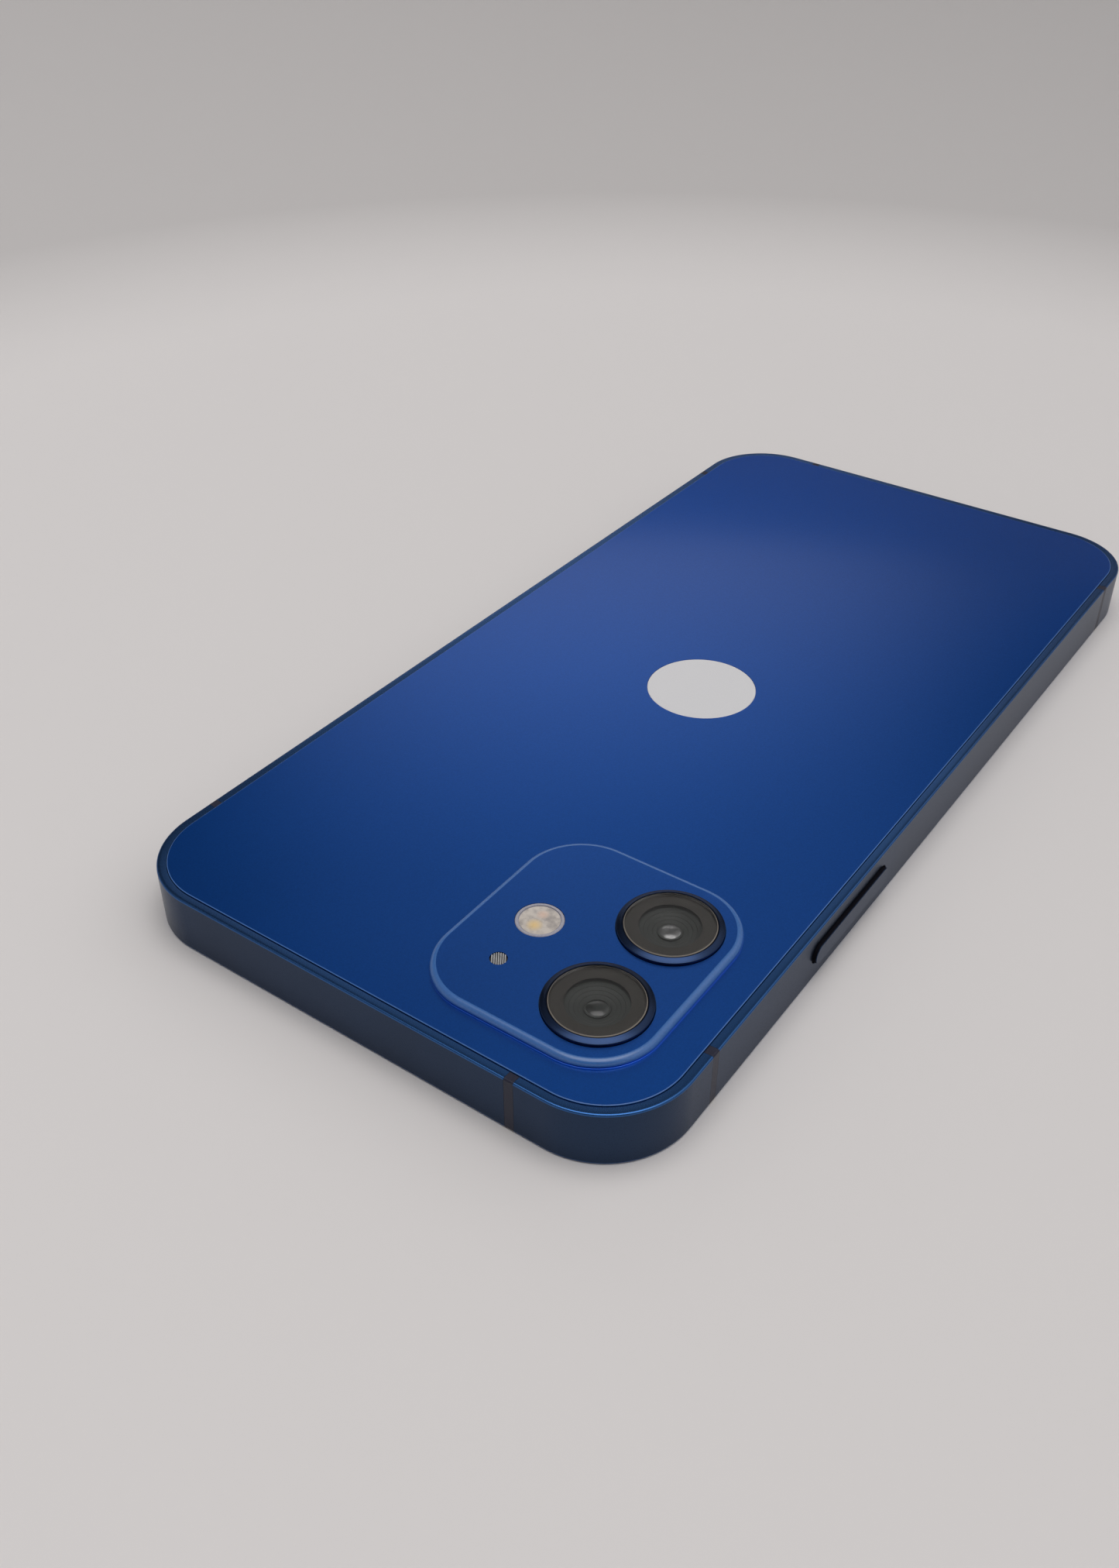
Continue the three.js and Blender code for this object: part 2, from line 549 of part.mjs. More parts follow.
function addCardTray() {
  const face = sideSlab(
    pill(TRAY.faceLength, TRAY.faceHeight), HALF_WIDTH - TRAY.faceDepth, HALF_WIDTH, TRAY.y, MID_Z, 0.1,
  );
  const arm = block(
    TRAY_BODY.lowX, HALF_WIDTH - TRAY.faceDepth + 0.3, TRAY_BODY.lowY, TRAY_BODY.highY, TRAY.low, TRAY.high,
  );
  const cardWell = block(
    CARD.lowX - 0.1, CARD.lowX + CARD.length + 0.1,
    CARD.y - CARD.width / 2 - 0.1, CARD.y + CARD.width / 2 + 0.1,
    CARD.low, THICKNESS,
  );
  const pinHole = sideSlab(circle(0.45), HALF_WIDTH - 3, HALF_WIDTH + 1, PLUNGER.y, MID_Z);
  add("sim_tray", cut(face.add(arm), [cardWell, pinHole]), blueMetal);

  const card = roundedRect(
    CARD.lowX, CARD.lowX + CARD.length, CARD.y - CARD.width / 2, CARD.y + CARD.width / 2, 1,
  );
  add("sim_card", slab(card, CARD.low, CARD.high, 0, SMALL_CORNER_SEGMENTS), cardWhite);

  const innerEnd = HALF_WIDTH - WALL_INSET - 0.05;
  const shell = block(
    READER.lowX, innerEnd, TRAY_BODY.lowY - READER.beyondPlunger, TRAY_BODY.highY + READER.beyondTray,
    READER.low, READER.high,
  );
  const trayWay = block(
    0, HALF_WIDTH, TRAY_BODY.lowY - 0.15, TRAY_BODY.highY + 0.15, TRAY.low - 0.1, TRAY.high + 0.1,
  );
  const plungerWay = sideSlab(circle(0.7), 0, HALF_WIDTH, PLUNGER.y, MID_Z);
  const foot = block(
    LEVER.x - 1.2, READER.lowX + 0.2, LEVER.y - 1.4, LEVER.y + 1.4, READER.low, TRAY.low - 0.15,
  );
  const pin = disc(LEVER.x, LEVER.y, LEVER.pin, READER.low + 0.15, TRAY.high, SMALL_CIRCLE);
  const reader = cut(union([shell, foot]), [trayWay, plungerWay]).add(pin);
  add("sim_reader", reader, steel);

  const length = PLUNGER.highX - PLUNGER.lowX;
  const tip = [0, 1, 2, 3, 4].map((i) => {
    const angle = (i * Math.PI) / 8;
    return [PLUNGER.radius * Math.sin(angle), PLUNGER.radius * (1 - Math.cos(angle))];
  });
  const profile = [...tip, [PLUNGER.radius, length], [0, length]];
  const plunger = turned(0, 0, profile, 12).rotate([0, 90, 0]);
  add("eject_plunger", plunger.translate([PLUNGER.lowX, PLUNGER.y, MID_Z]), steel);

  const bar = roundedRect(
    LEVER.x - LEVER.halfWidth, LEVER.x + LEVER.halfWidth,
    LEVER.y - LEVER.reachPlunger, LEVER.y + LEVER.reachTray, 0.3,
  );
  const boss = disc(LEVER.x, LEVER.y, 1.1, TRAY.low, TRAY.high, SMALL_CIRCLE);
  const bore = disc(LEVER.x, LEVER.y, LEVER.bore, 0, THICKNESS, SMALL_CIRCLE);
  add("eject_lever", slab(bar, TRAY.low, TRAY.high, 0, SMALL_CORNER_SEGMENTS).add(boss).subtract(bore), steel);
}

// ---- Bottom end ---------------------------------------------------------------------------------------------

function addBottomEnd() {
  const innerWall = -HALF_LENGTH + WALL_INSET + 0.05;
  const root = innerWall + PORT.depth - PORT_SHELL.wall;
  const { halfWidth, low, high, round } = PORT_SHELL;
  const box = roundedRect(-halfWidth, halfWidth, innerWall, innerWall + PORT.depth, round);
  const socket = endSlab(pill(PORT.innerWidth, PORT.innerHeight), innerWall - 1, root, 0, MID_Z);
  add("charging_port_shell", slab(box, low, high, 0, SMALL_CORNER_SEGMENTS).subtract(socket), steel);
  const tongue = block(
    -TONGUE.halfWidth, TONGUE.halfWidth, root - TONGUE.length, root,
    MID_Z - TONGUE.halfHeight, MID_Z + TONGUE.halfHeight,
  );
  add("charging_port_tongue", tongue, blackPlastic);

  const screw = [
    [0, 0],
    [SCREW.headRadius, 0],
    [SCREW.headRadius, SCREW.headDepth],
    [SCREW.radius, SCREW.headDepth],
    [SCREW.radius, SCREW.length],
    [0, SCREW.length],
  ];
  const socketHex = disc(0, 0, SCREW.socket, -1, SCREW.socket, 6);
  for (const [name, side] of [["left", -1], ["right", 1]]) {
    const body = turned(0, 0, screw, SMALL_CIRCLE).subtract(socketHex).rotate([-90, 0, 0]);
    add(`bottom_screw_${name}`, body.translate([side * SCREW.x, -HALF_LENGTH + SCREW.sunk, MID_Z]), steel);
  }

  const chest = roundedRect(SPEAKER.x0, SPEAKER.x1, innerWall, innerWall + SPEAKER.length, SPEAKER.round);
  const speaker = slab(chest, INSIDE_LOW_Z, SPEAKER.top, 0.3, SMALL_CORNER_SEGMENTS);
  const speakerWells = [];
  for (let i = 0; i < SPEAKER_HOLES; i += 1) {
    const x = -SOUND_HOLE_START - i * SOUND_HOLE_PITCH;
    speakerWells.push(endSlab(circle(SOUND_HOLE_RADIUS - 0.05), innerWall - 1, innerWall + 1.5, x, MID_Z));
  }
  add("loudspeaker", cut(speaker.subtract(cornerWaste()), speakerWells), blackPlastic);

  const { x0, x1, y0, y1, top, lid } = HAPTIC;
  const housing = block(x0, x1, y0, y1, INSIDE_LOW_Z, top).subtract(cornerWaste());
  const room = HAPTIC_CHAMBER;
  const chamber = block(room.x0, room.x1, room.y0, room.y1, INSIDE_LOW_Z - 1, top - lid);
  add("haptic_housing", housing.subtract(chamber), steel);
  const mass = HAPTIC_MASS;
  const massShape = roundedRect(mass.x0, mass.x1, mass.y0, mass.y1, 0.8);
  add("haptic_mass", slab(massShape, mass.low, mass.high, 0, SMALL_CORNER_SEGMENTS), tungsten);
  add("haptic_spring_left", hapticSpring(room.x0, 1), steel);
  add("haptic_spring_right", hapticSpring(room.x1, -1), steel);
}

// Everything outside the rounded inside of the frame.
function cornerWaste() {
  const around = block(-WIDTH, WIDTH, -LENGTH, LENGTH, -1, THICKNESS + 1);
  return around.subtract(slab(outline(INNER_INSET), -2, THICKNESS + 2));
}

// A bowed leaf spring standing on one end wall of the haptic housing and leaning towards the mass.
function hapticSpring(wallX, towards) {
  const { y0, y1, low, high, bow, leaf } = HAPTIC_SPRING;
  const shape = new THREE.Shape();
  shape.moveTo(wallX, y0);
  shape.quadraticCurveTo(wallX + 2 * towards * bow, (y0 + y1) / 2, wallX, y1);
  shape.lineTo(wallX, y1 - 2 * leaf);
  shape.quadraticCurveTo(wallX + 2 * towards * (bow - leaf), (y0 + y1) / 2, wallX, y0 + 2 * leaf);
  return slab(shape, low, high, 0, 8);
}

// ---- Inside -------------------------------------------------------------------------------------------------

function addInside() {
  const cell = roundedRect(BATTERY.x0, BATTERY.x1, BATTERY.y0, BATTERY.y1, 1.5);
  add("battery", slab(cell, INSIDE_LOW_Z, BATTERY.top, 0.3, SMALL_CORNER_SEGMENTS), batteryBlack);

  const board = new THREE.Shape();
  board.moveTo(BOARD.x0, BOARD.y0);
  board.lineTo(BOARD.x1, BOARD.y0);
  board.lineTo(BOARD.x1, BOARD.y1);
  board.lineTo(BOARD.armX, BOARD.y1);
  board.lineTo(BOARD.armX, BOARD.armY);
  board.lineTo(BOARD.x0, BOARD.armY);
  add("logic_board", slab(board, BOARD.low, BOARD.high), boardGreen);
  const can = roundedRect(SHIELD.x0, SHIELD.x1, SHIELD.y0, SHIELD.y1, 1);
  add("board_shield", slab(can, INSIDE_LOW_Z, BOARD.low, 0, SMALL_CORNER_SEGMENTS), steel);

  const { halfWidth, y1 } = EARPIECE_SPEAKER;
  const earpiece = roundedRect(-halfWidth, halfWidth, MODULES.y0, y1, 1);
  const speaker = slab(earpiece, PANEL_TOP + 0.1, MODULES.high, 0, SMALL_CORNER_SEGMENTS);
  add("earpiece_speaker", speaker, blackPlastic);
  add("front_camera_module", lensedModule(FRONT_MODULE.x), blackPlastic);
  add("face_sensor_module", lensedModule(-FRONT_MODULE.x), blackPlastic);

  const shield = disc(0, 0, COIL_WELL_RADIUS - 0.4, COIL_SHIELD_Z, MIDFRAME_LOW_Z, FINE_CIRCLE);
  add("charging_coil_shield", shield, silver);
  add("charging_coil", ring(0, 0, COIL.inner, COIL.outer, MIDFRAME_LOW_Z, COIL.high, FINE_CIRCLE), copper);
  const magnets = ring(0, 0, MAGNETS.inner, MAGNETS.outer, MIDFRAME_LOW_Z, MIDFRAME_HIGH_Z, FINE_CIRCLE);
  add("magnet_ring", magnets, magnetGrey);
}

// A front module: a small box with a round nose that looks out through the display glass.
function lensedModule(x) {
  const { halfWidth, noseY, noseRadius } = FRONT_MODULE;
  const base = block(x - halfWidth, x + halfWidth, MODULES.y0, MODULES.y1, PANEL_TOP + 0.1, MODULES.high);
  return base.add(disc(x, noseY, noseRadius, COVER_GLASS_TOP + 0.05, 2.4, CIRCLE));
}

// ---- Assembly -----------------------------------------------------------------------------------------------

addDisplay();
addFrame();
addBack();
for (const [name, y] of Object.entries(LENSES)) addCamera(name, y);
addButtons();
addCardTray();
addBottomEnd();
addInside();

export default phone;
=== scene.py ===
import json
import math

import bmesh
import bpy
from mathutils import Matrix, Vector


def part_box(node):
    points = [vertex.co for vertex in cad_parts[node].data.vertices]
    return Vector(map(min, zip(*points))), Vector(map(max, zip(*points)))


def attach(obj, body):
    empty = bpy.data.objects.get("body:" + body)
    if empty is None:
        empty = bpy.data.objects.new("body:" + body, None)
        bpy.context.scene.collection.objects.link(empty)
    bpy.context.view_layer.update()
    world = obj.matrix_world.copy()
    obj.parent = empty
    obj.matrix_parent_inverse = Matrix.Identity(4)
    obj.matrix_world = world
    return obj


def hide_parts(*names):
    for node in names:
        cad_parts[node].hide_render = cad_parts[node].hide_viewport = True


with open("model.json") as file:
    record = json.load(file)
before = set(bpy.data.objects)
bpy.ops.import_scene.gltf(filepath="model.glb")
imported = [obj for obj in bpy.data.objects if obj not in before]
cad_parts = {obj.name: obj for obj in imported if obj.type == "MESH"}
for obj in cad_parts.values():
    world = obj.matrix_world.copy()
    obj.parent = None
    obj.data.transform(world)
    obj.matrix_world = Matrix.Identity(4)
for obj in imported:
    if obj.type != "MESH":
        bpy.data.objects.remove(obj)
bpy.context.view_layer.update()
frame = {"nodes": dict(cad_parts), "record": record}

# ---- Sizes in millimetres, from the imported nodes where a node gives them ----

MM = 0.001


def node_box(node):
    """A CAD node's lowest and highest corners, in millimetres."""
    low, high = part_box(node)
    return low / MM, high / MM


def node_middle(node):
    low, high = node_box(node)
    return (low + high) / 2


def node_half(node):
    """Half a CAD node's size along each axis."""
    low, high = node_box(node)
    return (high - low) / 2


RAIL_LOW, _ = node_box("frame_rail_button_side")
_, TOP_HIGH = node_box("frame_top")
GLASS_LOW, GLASS_HIGH = node_box("back_glass")
COVER_LOW, COVER_HIGH = node_box("display_cover_glass")

HALF_WIDTH = -RAIL_LOW.x
HALF_LENGTH = TOP_HIGH.y
CORNER_RADIUS = 10.7
FRAME_LOW = RAIL_LOW.z
FRAME_HIGH = TOP_HIGH.z
BACK_Z = 7.4
MID_Z = BACK_Z / 2

# The frame's section: its rounded edges, the lip round the glass and the ledge that the glass lies on.
EDGE_ROUND = 0.22
CROWN_INSET = 0.50
GLASS_INSET = HALF_WIDTH - COVER_HIGH.x + 0.05
LIP_INSET = GLASS_INSET - 0.06
LIP_DROP = 0.06
WALL_INSET = 2.4
LEDGE_LOW = 0.9
LEDGE_HIGH = 6.5
GLASS_ROUND = 0.10
HOLE_CHAMFER = 0.06

PLATEAU_LOW = Vector((-30.5, 37.9))
PLATEAU_HIGH = Vector((-2.9, 68.5))
PLATEAU_RADIUS = 7.8
PLATEAU_Z = GLASS_HIGH.z
PLATEAU_ROUND = (0.72, 0.62)
PLATEAU_FOOT = 0.06

LENSES = {name: node_middle("lens_ring_" + name) for name in ("wide", "ultrawide")}
RING_RADIUS = 6.0
COVER_RADIUS = 5.18
MASK_INNER = 3.5
FLASH = node_middle("flash_lens")
FLASH_RADIUS = 2.76
FLASH_SEAT_Z = 7.5
MICROPHONE = node_middle("rear_microphone_mesh")
MICROPHONE_RADIUS = 0.97
MICROPHONE_SEAT_Z = 7.9
MARK = node_middle("rear_mark")
MARK_RADIUS = 7.4
MARK_DEPTH = 0.15

# The hair's breadth between two pieces of one node, so that their faces never coincide.
JOIN_GAP = 0.01

BUTTON_GAP = 0.17
BUTTON_ROOT = HALF_WIDTH - 1.35
POCKET_DEPTH = 1.7
STEM_HOLE_START = 1.5
STEM_RADIUS = 0.55
STEM_SPREAD = 0.294
SWITCH_SLOT = (3.1, 1.45)
SWITCH_SLOT_DEPTH = 1.1
SWITCH_STEM = (1.0, 0.45)
SWITCH_TRAVEL = 1.2
SWITCH_DEPTH = 1.0
TRAY_FACE_DEPTH = 1.2
TRAY_ARM_LOW, TRAY_ARM_HIGH = (18.6, -16.6, 3.35), (34.5, -4.8, 4.35)
CARD_WELL_LOW, CARD_WELL_HIGH = (20.3, -15.2, 3.6), (32.8, -6.2, 6.0)
PIN_Y = -18.2
PIN_RADIUS = 0.45

PORT_OPENING = (4.5, 1.6)
CONTACT_HEIGHT = 0.03
SCREW_HEAD = 1.05
SCREW_HEAD_DEPTH = 0.85
SCREW_RADIUS = 0.62
SCREW_SOCKET = 0.45
SOUND_RADIUS = 0.75
SPEAKER_HOLES = [-12.2 - 2.3 * i for i in range(6)]
MICROPHONE_HOLES = [12.2 + 2.3 * i for i in range(3)]

WINDOW_RADIUS = 2.0

ARC_STEPS = 28
CIRCLE_STEPS = 96
FINE_STEPS = 128
SMALL_STEPS = 40

# ---- Outlines ----


def arc(cx, cy, radius, start, end, steps):
    """Points on an arc between two angles in degrees, both ends included."""
    turns = (math.radians(start + (end - start) * i / steps) for i in range(steps + 1))
    return [(cx + radius * math.cos(a), cy + radius * math.sin(a)) for a in turns]


def rounded_rect(low, high, radius, steps=ARC_STEPS):
    """A rounded rectangle's outline, anticlockwise from its +X -Y corner."""
    corners = (
        (high[0] - radius, low[1] + radius, -90),
        (high[0] - radius, high[1] - radius, 0),
        (low[0] + radius, high[1] - radius, 90),
        (low[0] + radius, low[1] + radius, 180),
    )
    return [p for cx, cy, start in corners for p in arc(cx, cy, radius, start, start + 90, steps)]


def centred_rect(half_x, half_y, radius, steps=6):
    return rounded_rect((-half_x, -half_y), (half_x, half_y), radius, steps)


def phone_outline(inset):
    return centred_rect(HALF_WIDTH - inset, HALF_LENGTH - inset, CORNER_RADIUS - inset, ARC_STEPS)


def plateau_outline(inset):
    inward = Vector((inset, inset))
    return rounded_rect(PLATEAU_LOW + inward, PLATEAU_HIGH - inward, PLATEAU_RADIUS - inset)


def circle(x, y, radius, steps=CIRCLE_STEPS):
    return arc(x, y, radius, 0, 360, steps)[:-1]


def disc(radius):
    """A small circle about the origin."""
    return circle(0, 0, radius, SMALL_STEPS)


def pill(half_length, half_height, steps=16):
    """A pill's outline about the origin, lying along its first axis."""
    reach = half_length - half_height
    right = arc(reach, 0, half_height, -90, 90, steps)
    return right + arc(-reach, 0, half_height, 90, 270, steps)


def quarter(steps, inward=1.0, down=1.0):
    """A quarter round as (inward, downward) steps, from the top of a wall over to the flat."""
    angles = (math.pi / 2 * i / steps for i in range(steps + 1))
    return [(inward * (1 - math.cos(a)), down * (1 - math.sin(a))) for a in angles]


# ---- Meshes ----


def at_height(outline, z):
    return [(x, y, z) for x, y in outline]


def bridge(bm, low, high):
    """Joins two rings of vertices with quads."""
    for i in range(len(low)):
        j = (i + 1) % len(low)
        bm.faces.new((low[i], low[j], high[j], high[i]))


def loft(bm, rings):
    """Joins rings of equal length one to the next, and gives back the vertices of each ring."""
    made = [[bm.verts.new(Vector(p) * MM) for p in ring] for ring in rings]
    for low, high in zip(made, made[1:]):
        bridge(bm, low, high)
    return made


def close(bm, rings):
    """Fills the two ends of a loft with flat faces."""
    bm.faces.new(reversed(rings[0]))
    bm.faces.new(rings[-1])


def fill(bm, loops, material_index=0):
    """Fills the flat region that one outer loop and any holes bound."""
    edges = []
    for loop in loops:
        for i, vert in enumerate(loop):
            after = loop[(i + 1) % len(loop)]
            edges.append(bm.edges.get((vert, after)) or bm.edges.new((vert, after)))
    filled = bmesh.ops.triangle_fill(bm, use_beauty=True, use_dissolve=False, edges=edges, normal=(0, 0, 1))
    for item in filled["geom"]:
        if isinstance(item, bmesh.types.BMFace):
            item.material_index = material_index


def smooth(obj, angle=32):
    """Shades a mesh smoothly between sharp edges, with flat faces kept flat."""
    mesh = obj.data
    for polygon in mesh.polygons:
        polygon.use_smooth = True
    mesh.set_sharp_from_angle(angle=math.radians(angle))
    weighted = obj.modifiers.new("flat_faces", "WEIGHTED_NORMAL")
    weighted.keep_sharp = True
    weighted.weight = 100


def link(name, data):
    """A new object in the scene, for a mesh or a camera."""
    obj = bpy.data.objects.new(name, data)
    bpy.context.scene.collection.objects.link(obj)
    return obj


def to_mesh(name, bm, *materials):
    bmesh.ops.recalc_face_normals(bm, faces=bm.faces)
    mesh = bpy.data.meshes.new(name)
    bm.to_mesh(mesh)
    bm.free()
    for material in materials:
        mesh.materials.append(material)
    return mesh


def to_object(name, bm, *materials, angle=32):
    obj = link(name, to_mesh(name, bm, *materials))
    smooth(obj, angle)
    return obj


def solid(name, shells, *materials, angle=32):
    """One or more closed shells, each lofted through its own rings."""
    bm = bmesh.new()
    for rings in shells:
        close(bm, loft(bm, rings))
    return to_object(name, bm, *materials, angle=angle)


def block(low, high, edge=0.0):
    """A box's lower and upper rings, with its upright edges rounded if an edge is given."""
    corners = [(low[0], low[1]), (high[0], low[1]), (high[0], high[1]), (low[0], high[1])]
    outline = rounded_rect(low, high, edge, 3) if edge else corners
    return [at_height(outline, low[2]), at_height(outline, high[2])]


def side_shell(y, z, sections):
    """Rings set up in a side wall, from (x, outline) rows, with each outline's first axis along the phone."""
    return [[(x, y + along, z + up) for along, up in outline] for x, outline in sections]


def end_shell(x, z, sections):
    """Rings set up in an end wall, from (y, outline) rows."""
    return [[(x + across, y, z + up) for across, up in outline] for y, outline in sections]


def lathe(name, spot, profile, *materials, steps=CIRCLE_STEPS, angle=32):
    """A solid of revolution about the upright through a spot, from a closed profile of (radius, z) points.

    A profile either starts and ends on the axis, or keeps clear of it and joins up with itself."""
    bm = bmesh.new()
    hollow = profile[0][0] > 0
    points = profile if hollow else profile[1:-1]
    made = loft(bm, [at_height(circle(spot.x, spot.y, radius, steps), z) for radius, z in points])
    if hollow:
        bridge(bm, made[-1], made[0])
    else:
        for ring, (_, z) in ((made[0], profile[0]), (made[-1], profile[-1])):
            tip = bm.verts.new(Vector((spot.x, spot.y, z)) * MM)
            for i in range(steps):
                bm.faces.new((ring[i], ring[(i + 1) % steps], tip))
    return to_object(name, bm, *materials, angle=angle)


def bevelled(radius, low, top, bevel):
    """The lathe profile of a round plate with a bevelled upper edge."""
    return [(0, low), (radius, low), (radius, top - bevel), (radius - bevel, top), (0, top)]


def carve(obj, shells, angle=32):
    """Cuts closed shells out of a mesh."""
    obj.modifiers.clear()
    cutters = [solid("cutter", [rings]) for rings in shells]
    for cutter in cutters:
        cutter.modifiers.clear()
        boolean = obj.modifiers.new("carve", "BOOLEAN")
        boolean.operation = "DIFFERENCE"
        boolean.solver = "EXACT"
        boolean.object = cutter
    evaluated = obj.evaluated_get(bpy.context.evaluated_depsgraph_get())
    carved = bpy.data.meshes.new_from_object(evaluated)
    obj.modifiers.clear()
    obj.data = carved
    for cutter in cutters:
        bpy.data.objects.remove(cutter)
    smooth(obj, angle)


def paint(obj, material, chosen):
    """Gives another material to the faces that a test picks out."""
    obj.data.materials.append(material)
    index = len(obj.data.materials) - 1
    for polygon in obj.data.polygons:
        if chosen(polygon):
            polygon.material_index = index


SLOTS = {row["node"]: row["material_slot"] for row in frame["record"]["subparts"]}
BODY_OF = {node: body for body, nodes in frame["record"]["behaviour"]["bodies"].items() for node in nodes}


def go_with(piece, node):
    """A piece shares a CAD node's body."""
    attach(piece, BODY_OF[node])


def stand_for(piece, node):
    """A finer piece takes a CAD node's place."""
    go_with(piece, node)
    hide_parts(node)


# ---- Materials ----


def add_node(nodes, kind, **inputs):
    """A shader node, with the plain values given for its inputs."""
    node = nodes.new("ShaderNode" + kind)
    for key, value in inputs.items():
        node.inputs[key.replace("_", " ")].default_value = value
    return node


class Shader:
    """A Principled material whose varying inputs come from procedural nodes, with scales in millimetres."""

    def __init__(self, name, **constants):
        self.material = bpy.data.materials.new(name)
        self.material.use_nodes = True
        self.nodes = self.material.node_tree.nodes
        self.links = self.material.node_tree.links
        self.principled = self.nodes["Principled BSDF"]
        for key, value in constants.items():
            self.principled.inputs[key.replace("_", " ")].default_value = value
        self.coordinates = self.nodes.new("ShaderNodeTexCoord").outputs["Object"]

    def scaled(self, scale, stretch=(1, 1, 1)):
        mapping = add_node(self.nodes, "Mapping", Scale=[scale * s / MM for s in stretch])
        self.links.new(self.coordinates, mapping.inputs["Vector"])
        return mapping.outputs["Vector"]

    def noise(self, scale, detail=2.0, stretch=(1, 1, 1)):
        """Noise with the given number of grains to a millimetre."""
        texture = add_node(self.nodes, "TexNoise", Scale=1.0, Detail=detail)
        self.links.new(self.scaled(scale, stretch), texture.inputs["Vector"])
        return texture.outputs["Fac"]

    def waves(self, pitch, rings=False):
        """Even ridges, one to each pitch in millimetres: straight ones along X, or rings about the Z axis."""
        texture = add_node(self.nodes, "TexWave", Scale=math.pi / 10)
        texture.wave_type = "RINGS" if rings else "BANDS"
        texture.rings_direction = "Z"
        self.links.new(self.scaled(1 / pitch), texture.inputs["Vector"])
        return texture.outputs["Fac"]

    def cells(self, scale):
        """The distance to the middle of the nearest cell."""
        texture = add_node(self.nodes, "TexVoronoi", Scale=1.0)
        self.links.new(self.scaled(scale), texture.inputs["Vector"])
        return texture.outputs["Distance"]

    def near(self, place, inner, outer):
        """A value that falls from one to nothing between two distances from a place."""
        aim = self.nodes.new("ShaderNodeVectorMath")
        aim.operation = "DISTANCE"
        aim.inputs[1].default_value = Vector(place) * MM
        self.links.new(self.coordinates, aim.inputs[0])
        return self.range(aim.outputs["Value"], 1.0, 0.0, inner * MM, outer * MM)

    def ramp(self, value, *stops):
        """A colour that runs between two stops, each (place, colour)."""
        node = self.nodes.new("ShaderNodeValToRGB")
        for element, (place, colour) in zip(node.color_ramp.elements, stops):
            element.position = place
            element.color = (*colour, 1.0)
        self.links.new(value, node.inputs["Fac"])
        return node.outputs["Color"]

    def mix(self, value, under, over):
        """One colour over another; the colour on top is a plain one."""
        node = self.nodes.new("ShaderNodeMix")
        node.data_type = "RGBA"
        self.links.new(value, node.inputs["Factor"])
        self.links.new(under, node.inputs["A"])
        node.inputs["B"].default_value = (*over, 1.0)
        return node.outputs["Result"]

    def range(self, value, low, high, start=0.3, end=0.7):
        """A value spread from low to high."""
        node = add_node(self.nodes, "MapRange", From_Min=start, From_Max=end, To_Min=low, To_Max=high)
        self.links.new(value, node.inputs["Value"])
        return node.outputs["Result"]

    def rough(self, value, low, high):
        self.links.new(self.range(value, low, high), self.principled.inputs["Roughness"])

    def colour(self, output):
        self.links.new(output, self.principled.inputs["Base Color"])

    def bump(self, height, depth, strength=1.0):
        """Raises the surface by up to depth millimetres with the height given."""
        node = add_node(self.nodes, "Bump", Strength=strength, Distance=depth * MM)
        self.links.new(height, node.inputs["Height"])
        self.links.new(node.outputs["Normal"], self.principled.inputs["Normal"])

    def vary(self, value, colour, spread=0.1):
        """The base colour, a little darker and lighter with a value."""
        darker = [c * (1 - spread) for c in colour]
        lighter = [c * (1 + spread) for c in colour]
        self.colour(self.ramp(value, (0.3, darker), (0.7, lighter)))


GLASS_BLUE = (0.014, 0.125, 0.560)
GLASS_EDGE = (0.30, 0.40, 0.70, 1.0)
METAL_BLUE = (0.004, 0.024, 0.070)
METAL_GRAZE = (0.62, 0.64, 0.68, 1.0)
# A lighter blue for the frame's rounded edges: a painted highlight where the edges catch the light.
EDGE_HIGHLIGHT_BLUE = (0.020, 0.100, 0.300)
RIM_BLUE = (0.045, 0.150, 0.420)


def blue_glass(name="blue_glass", colour=GLASS_BLUE, coat_roughness=0.12):
    """Colour under clear glass, which reads as a satin metal beneath a gloss."""
    shader = Shader(
        name, Metallic=1.0, Coat_Weight=0.55, Coat_Roughness=coat_roughness, Specular_Tint=GLASS_EDGE
    )
    grain = shader.noise(6.0, 3.0)
    shader.vary(grain, colour, 0.07)
    shader.rough(shader.noise(0.02), 0.29, 0.32)
    shader.bump(grain, 0.0006, 0.4)
    return shader.material


def rim_glass():
    """The bare rounded side of the camera plateau, where the glass itself shows."""
    shader = Shader("rim_glass", IOR=1.5, Coat_Weight=0.3, Coat_Roughness=0.2)
    grain = shader.noise(4.0)
    shader.vary(grain, RIM_BLUE, 0.06)
    shader.rough(grain, 0.18, 0.24)
    return shader.material


def blue_metal(name="blue_metal", colour=METAL_BLUE, roughness=0.30):
    """Blasted aluminium under a dyed anodic layer, which shines like a thin clear coat. Given a lighter
    colour, it also paints the frame's rounded edges as a painted highlight.
    """
    shader = Shader(
        name, Metallic=1.0, Coat_Weight=0.45, Coat_Roughness=roughness, Specular_Tint=METAL_GRAZE
    )
    blast = shader.noise(14.0, 4.0)
    shader.vary(shader.noise(0.08), colour, 0.08)
    shader.rough(blast, roughness - 0.04, roughness + 0.05)
    shader.bump(blast, 0.002, 0.35)
    return shader.material


def moulded_plastic(name, colour, roughness=0.5, grains=5.0, shine=0.5):
    shader = Shader(name, Specular_IOR_Level=shine)
    texture = shader.noise(grains, 3.0)
    shader.vary(texture, colour, 0.12)
    shader.rough(texture, roughness - 0.06, roughness + 0.08)
    shader.bump(texture, 0.004, 0.4)
    return shader.material


def brushed_metal(name, colour, roughness=0.32):
    shader = Shader(name, Metallic=1.0)
    strokes = shader.noise(3.0, 3.0, stretch=(0.08, 1, 1))
    shader.vary(strokes, colour, 0.1)
    shader.rough(strokes, roughness - 0.07, roughness + 0.09)
    shader.bump(strokes, 0.003, 0.3)
    return shader.material


def mark_silver():
    shader = Shader("mark_silver", Metallic=0.25, Coat_Weight=0.4, Coat_Roughness=0.05)
    sheen = shader.noise(8.0, 3.0)
    shader.vary(sheen, (0.80, 0.81, 0.83), 0.03)
    shader.rough(sheen, 0.45, 0.55)
    return shader.material


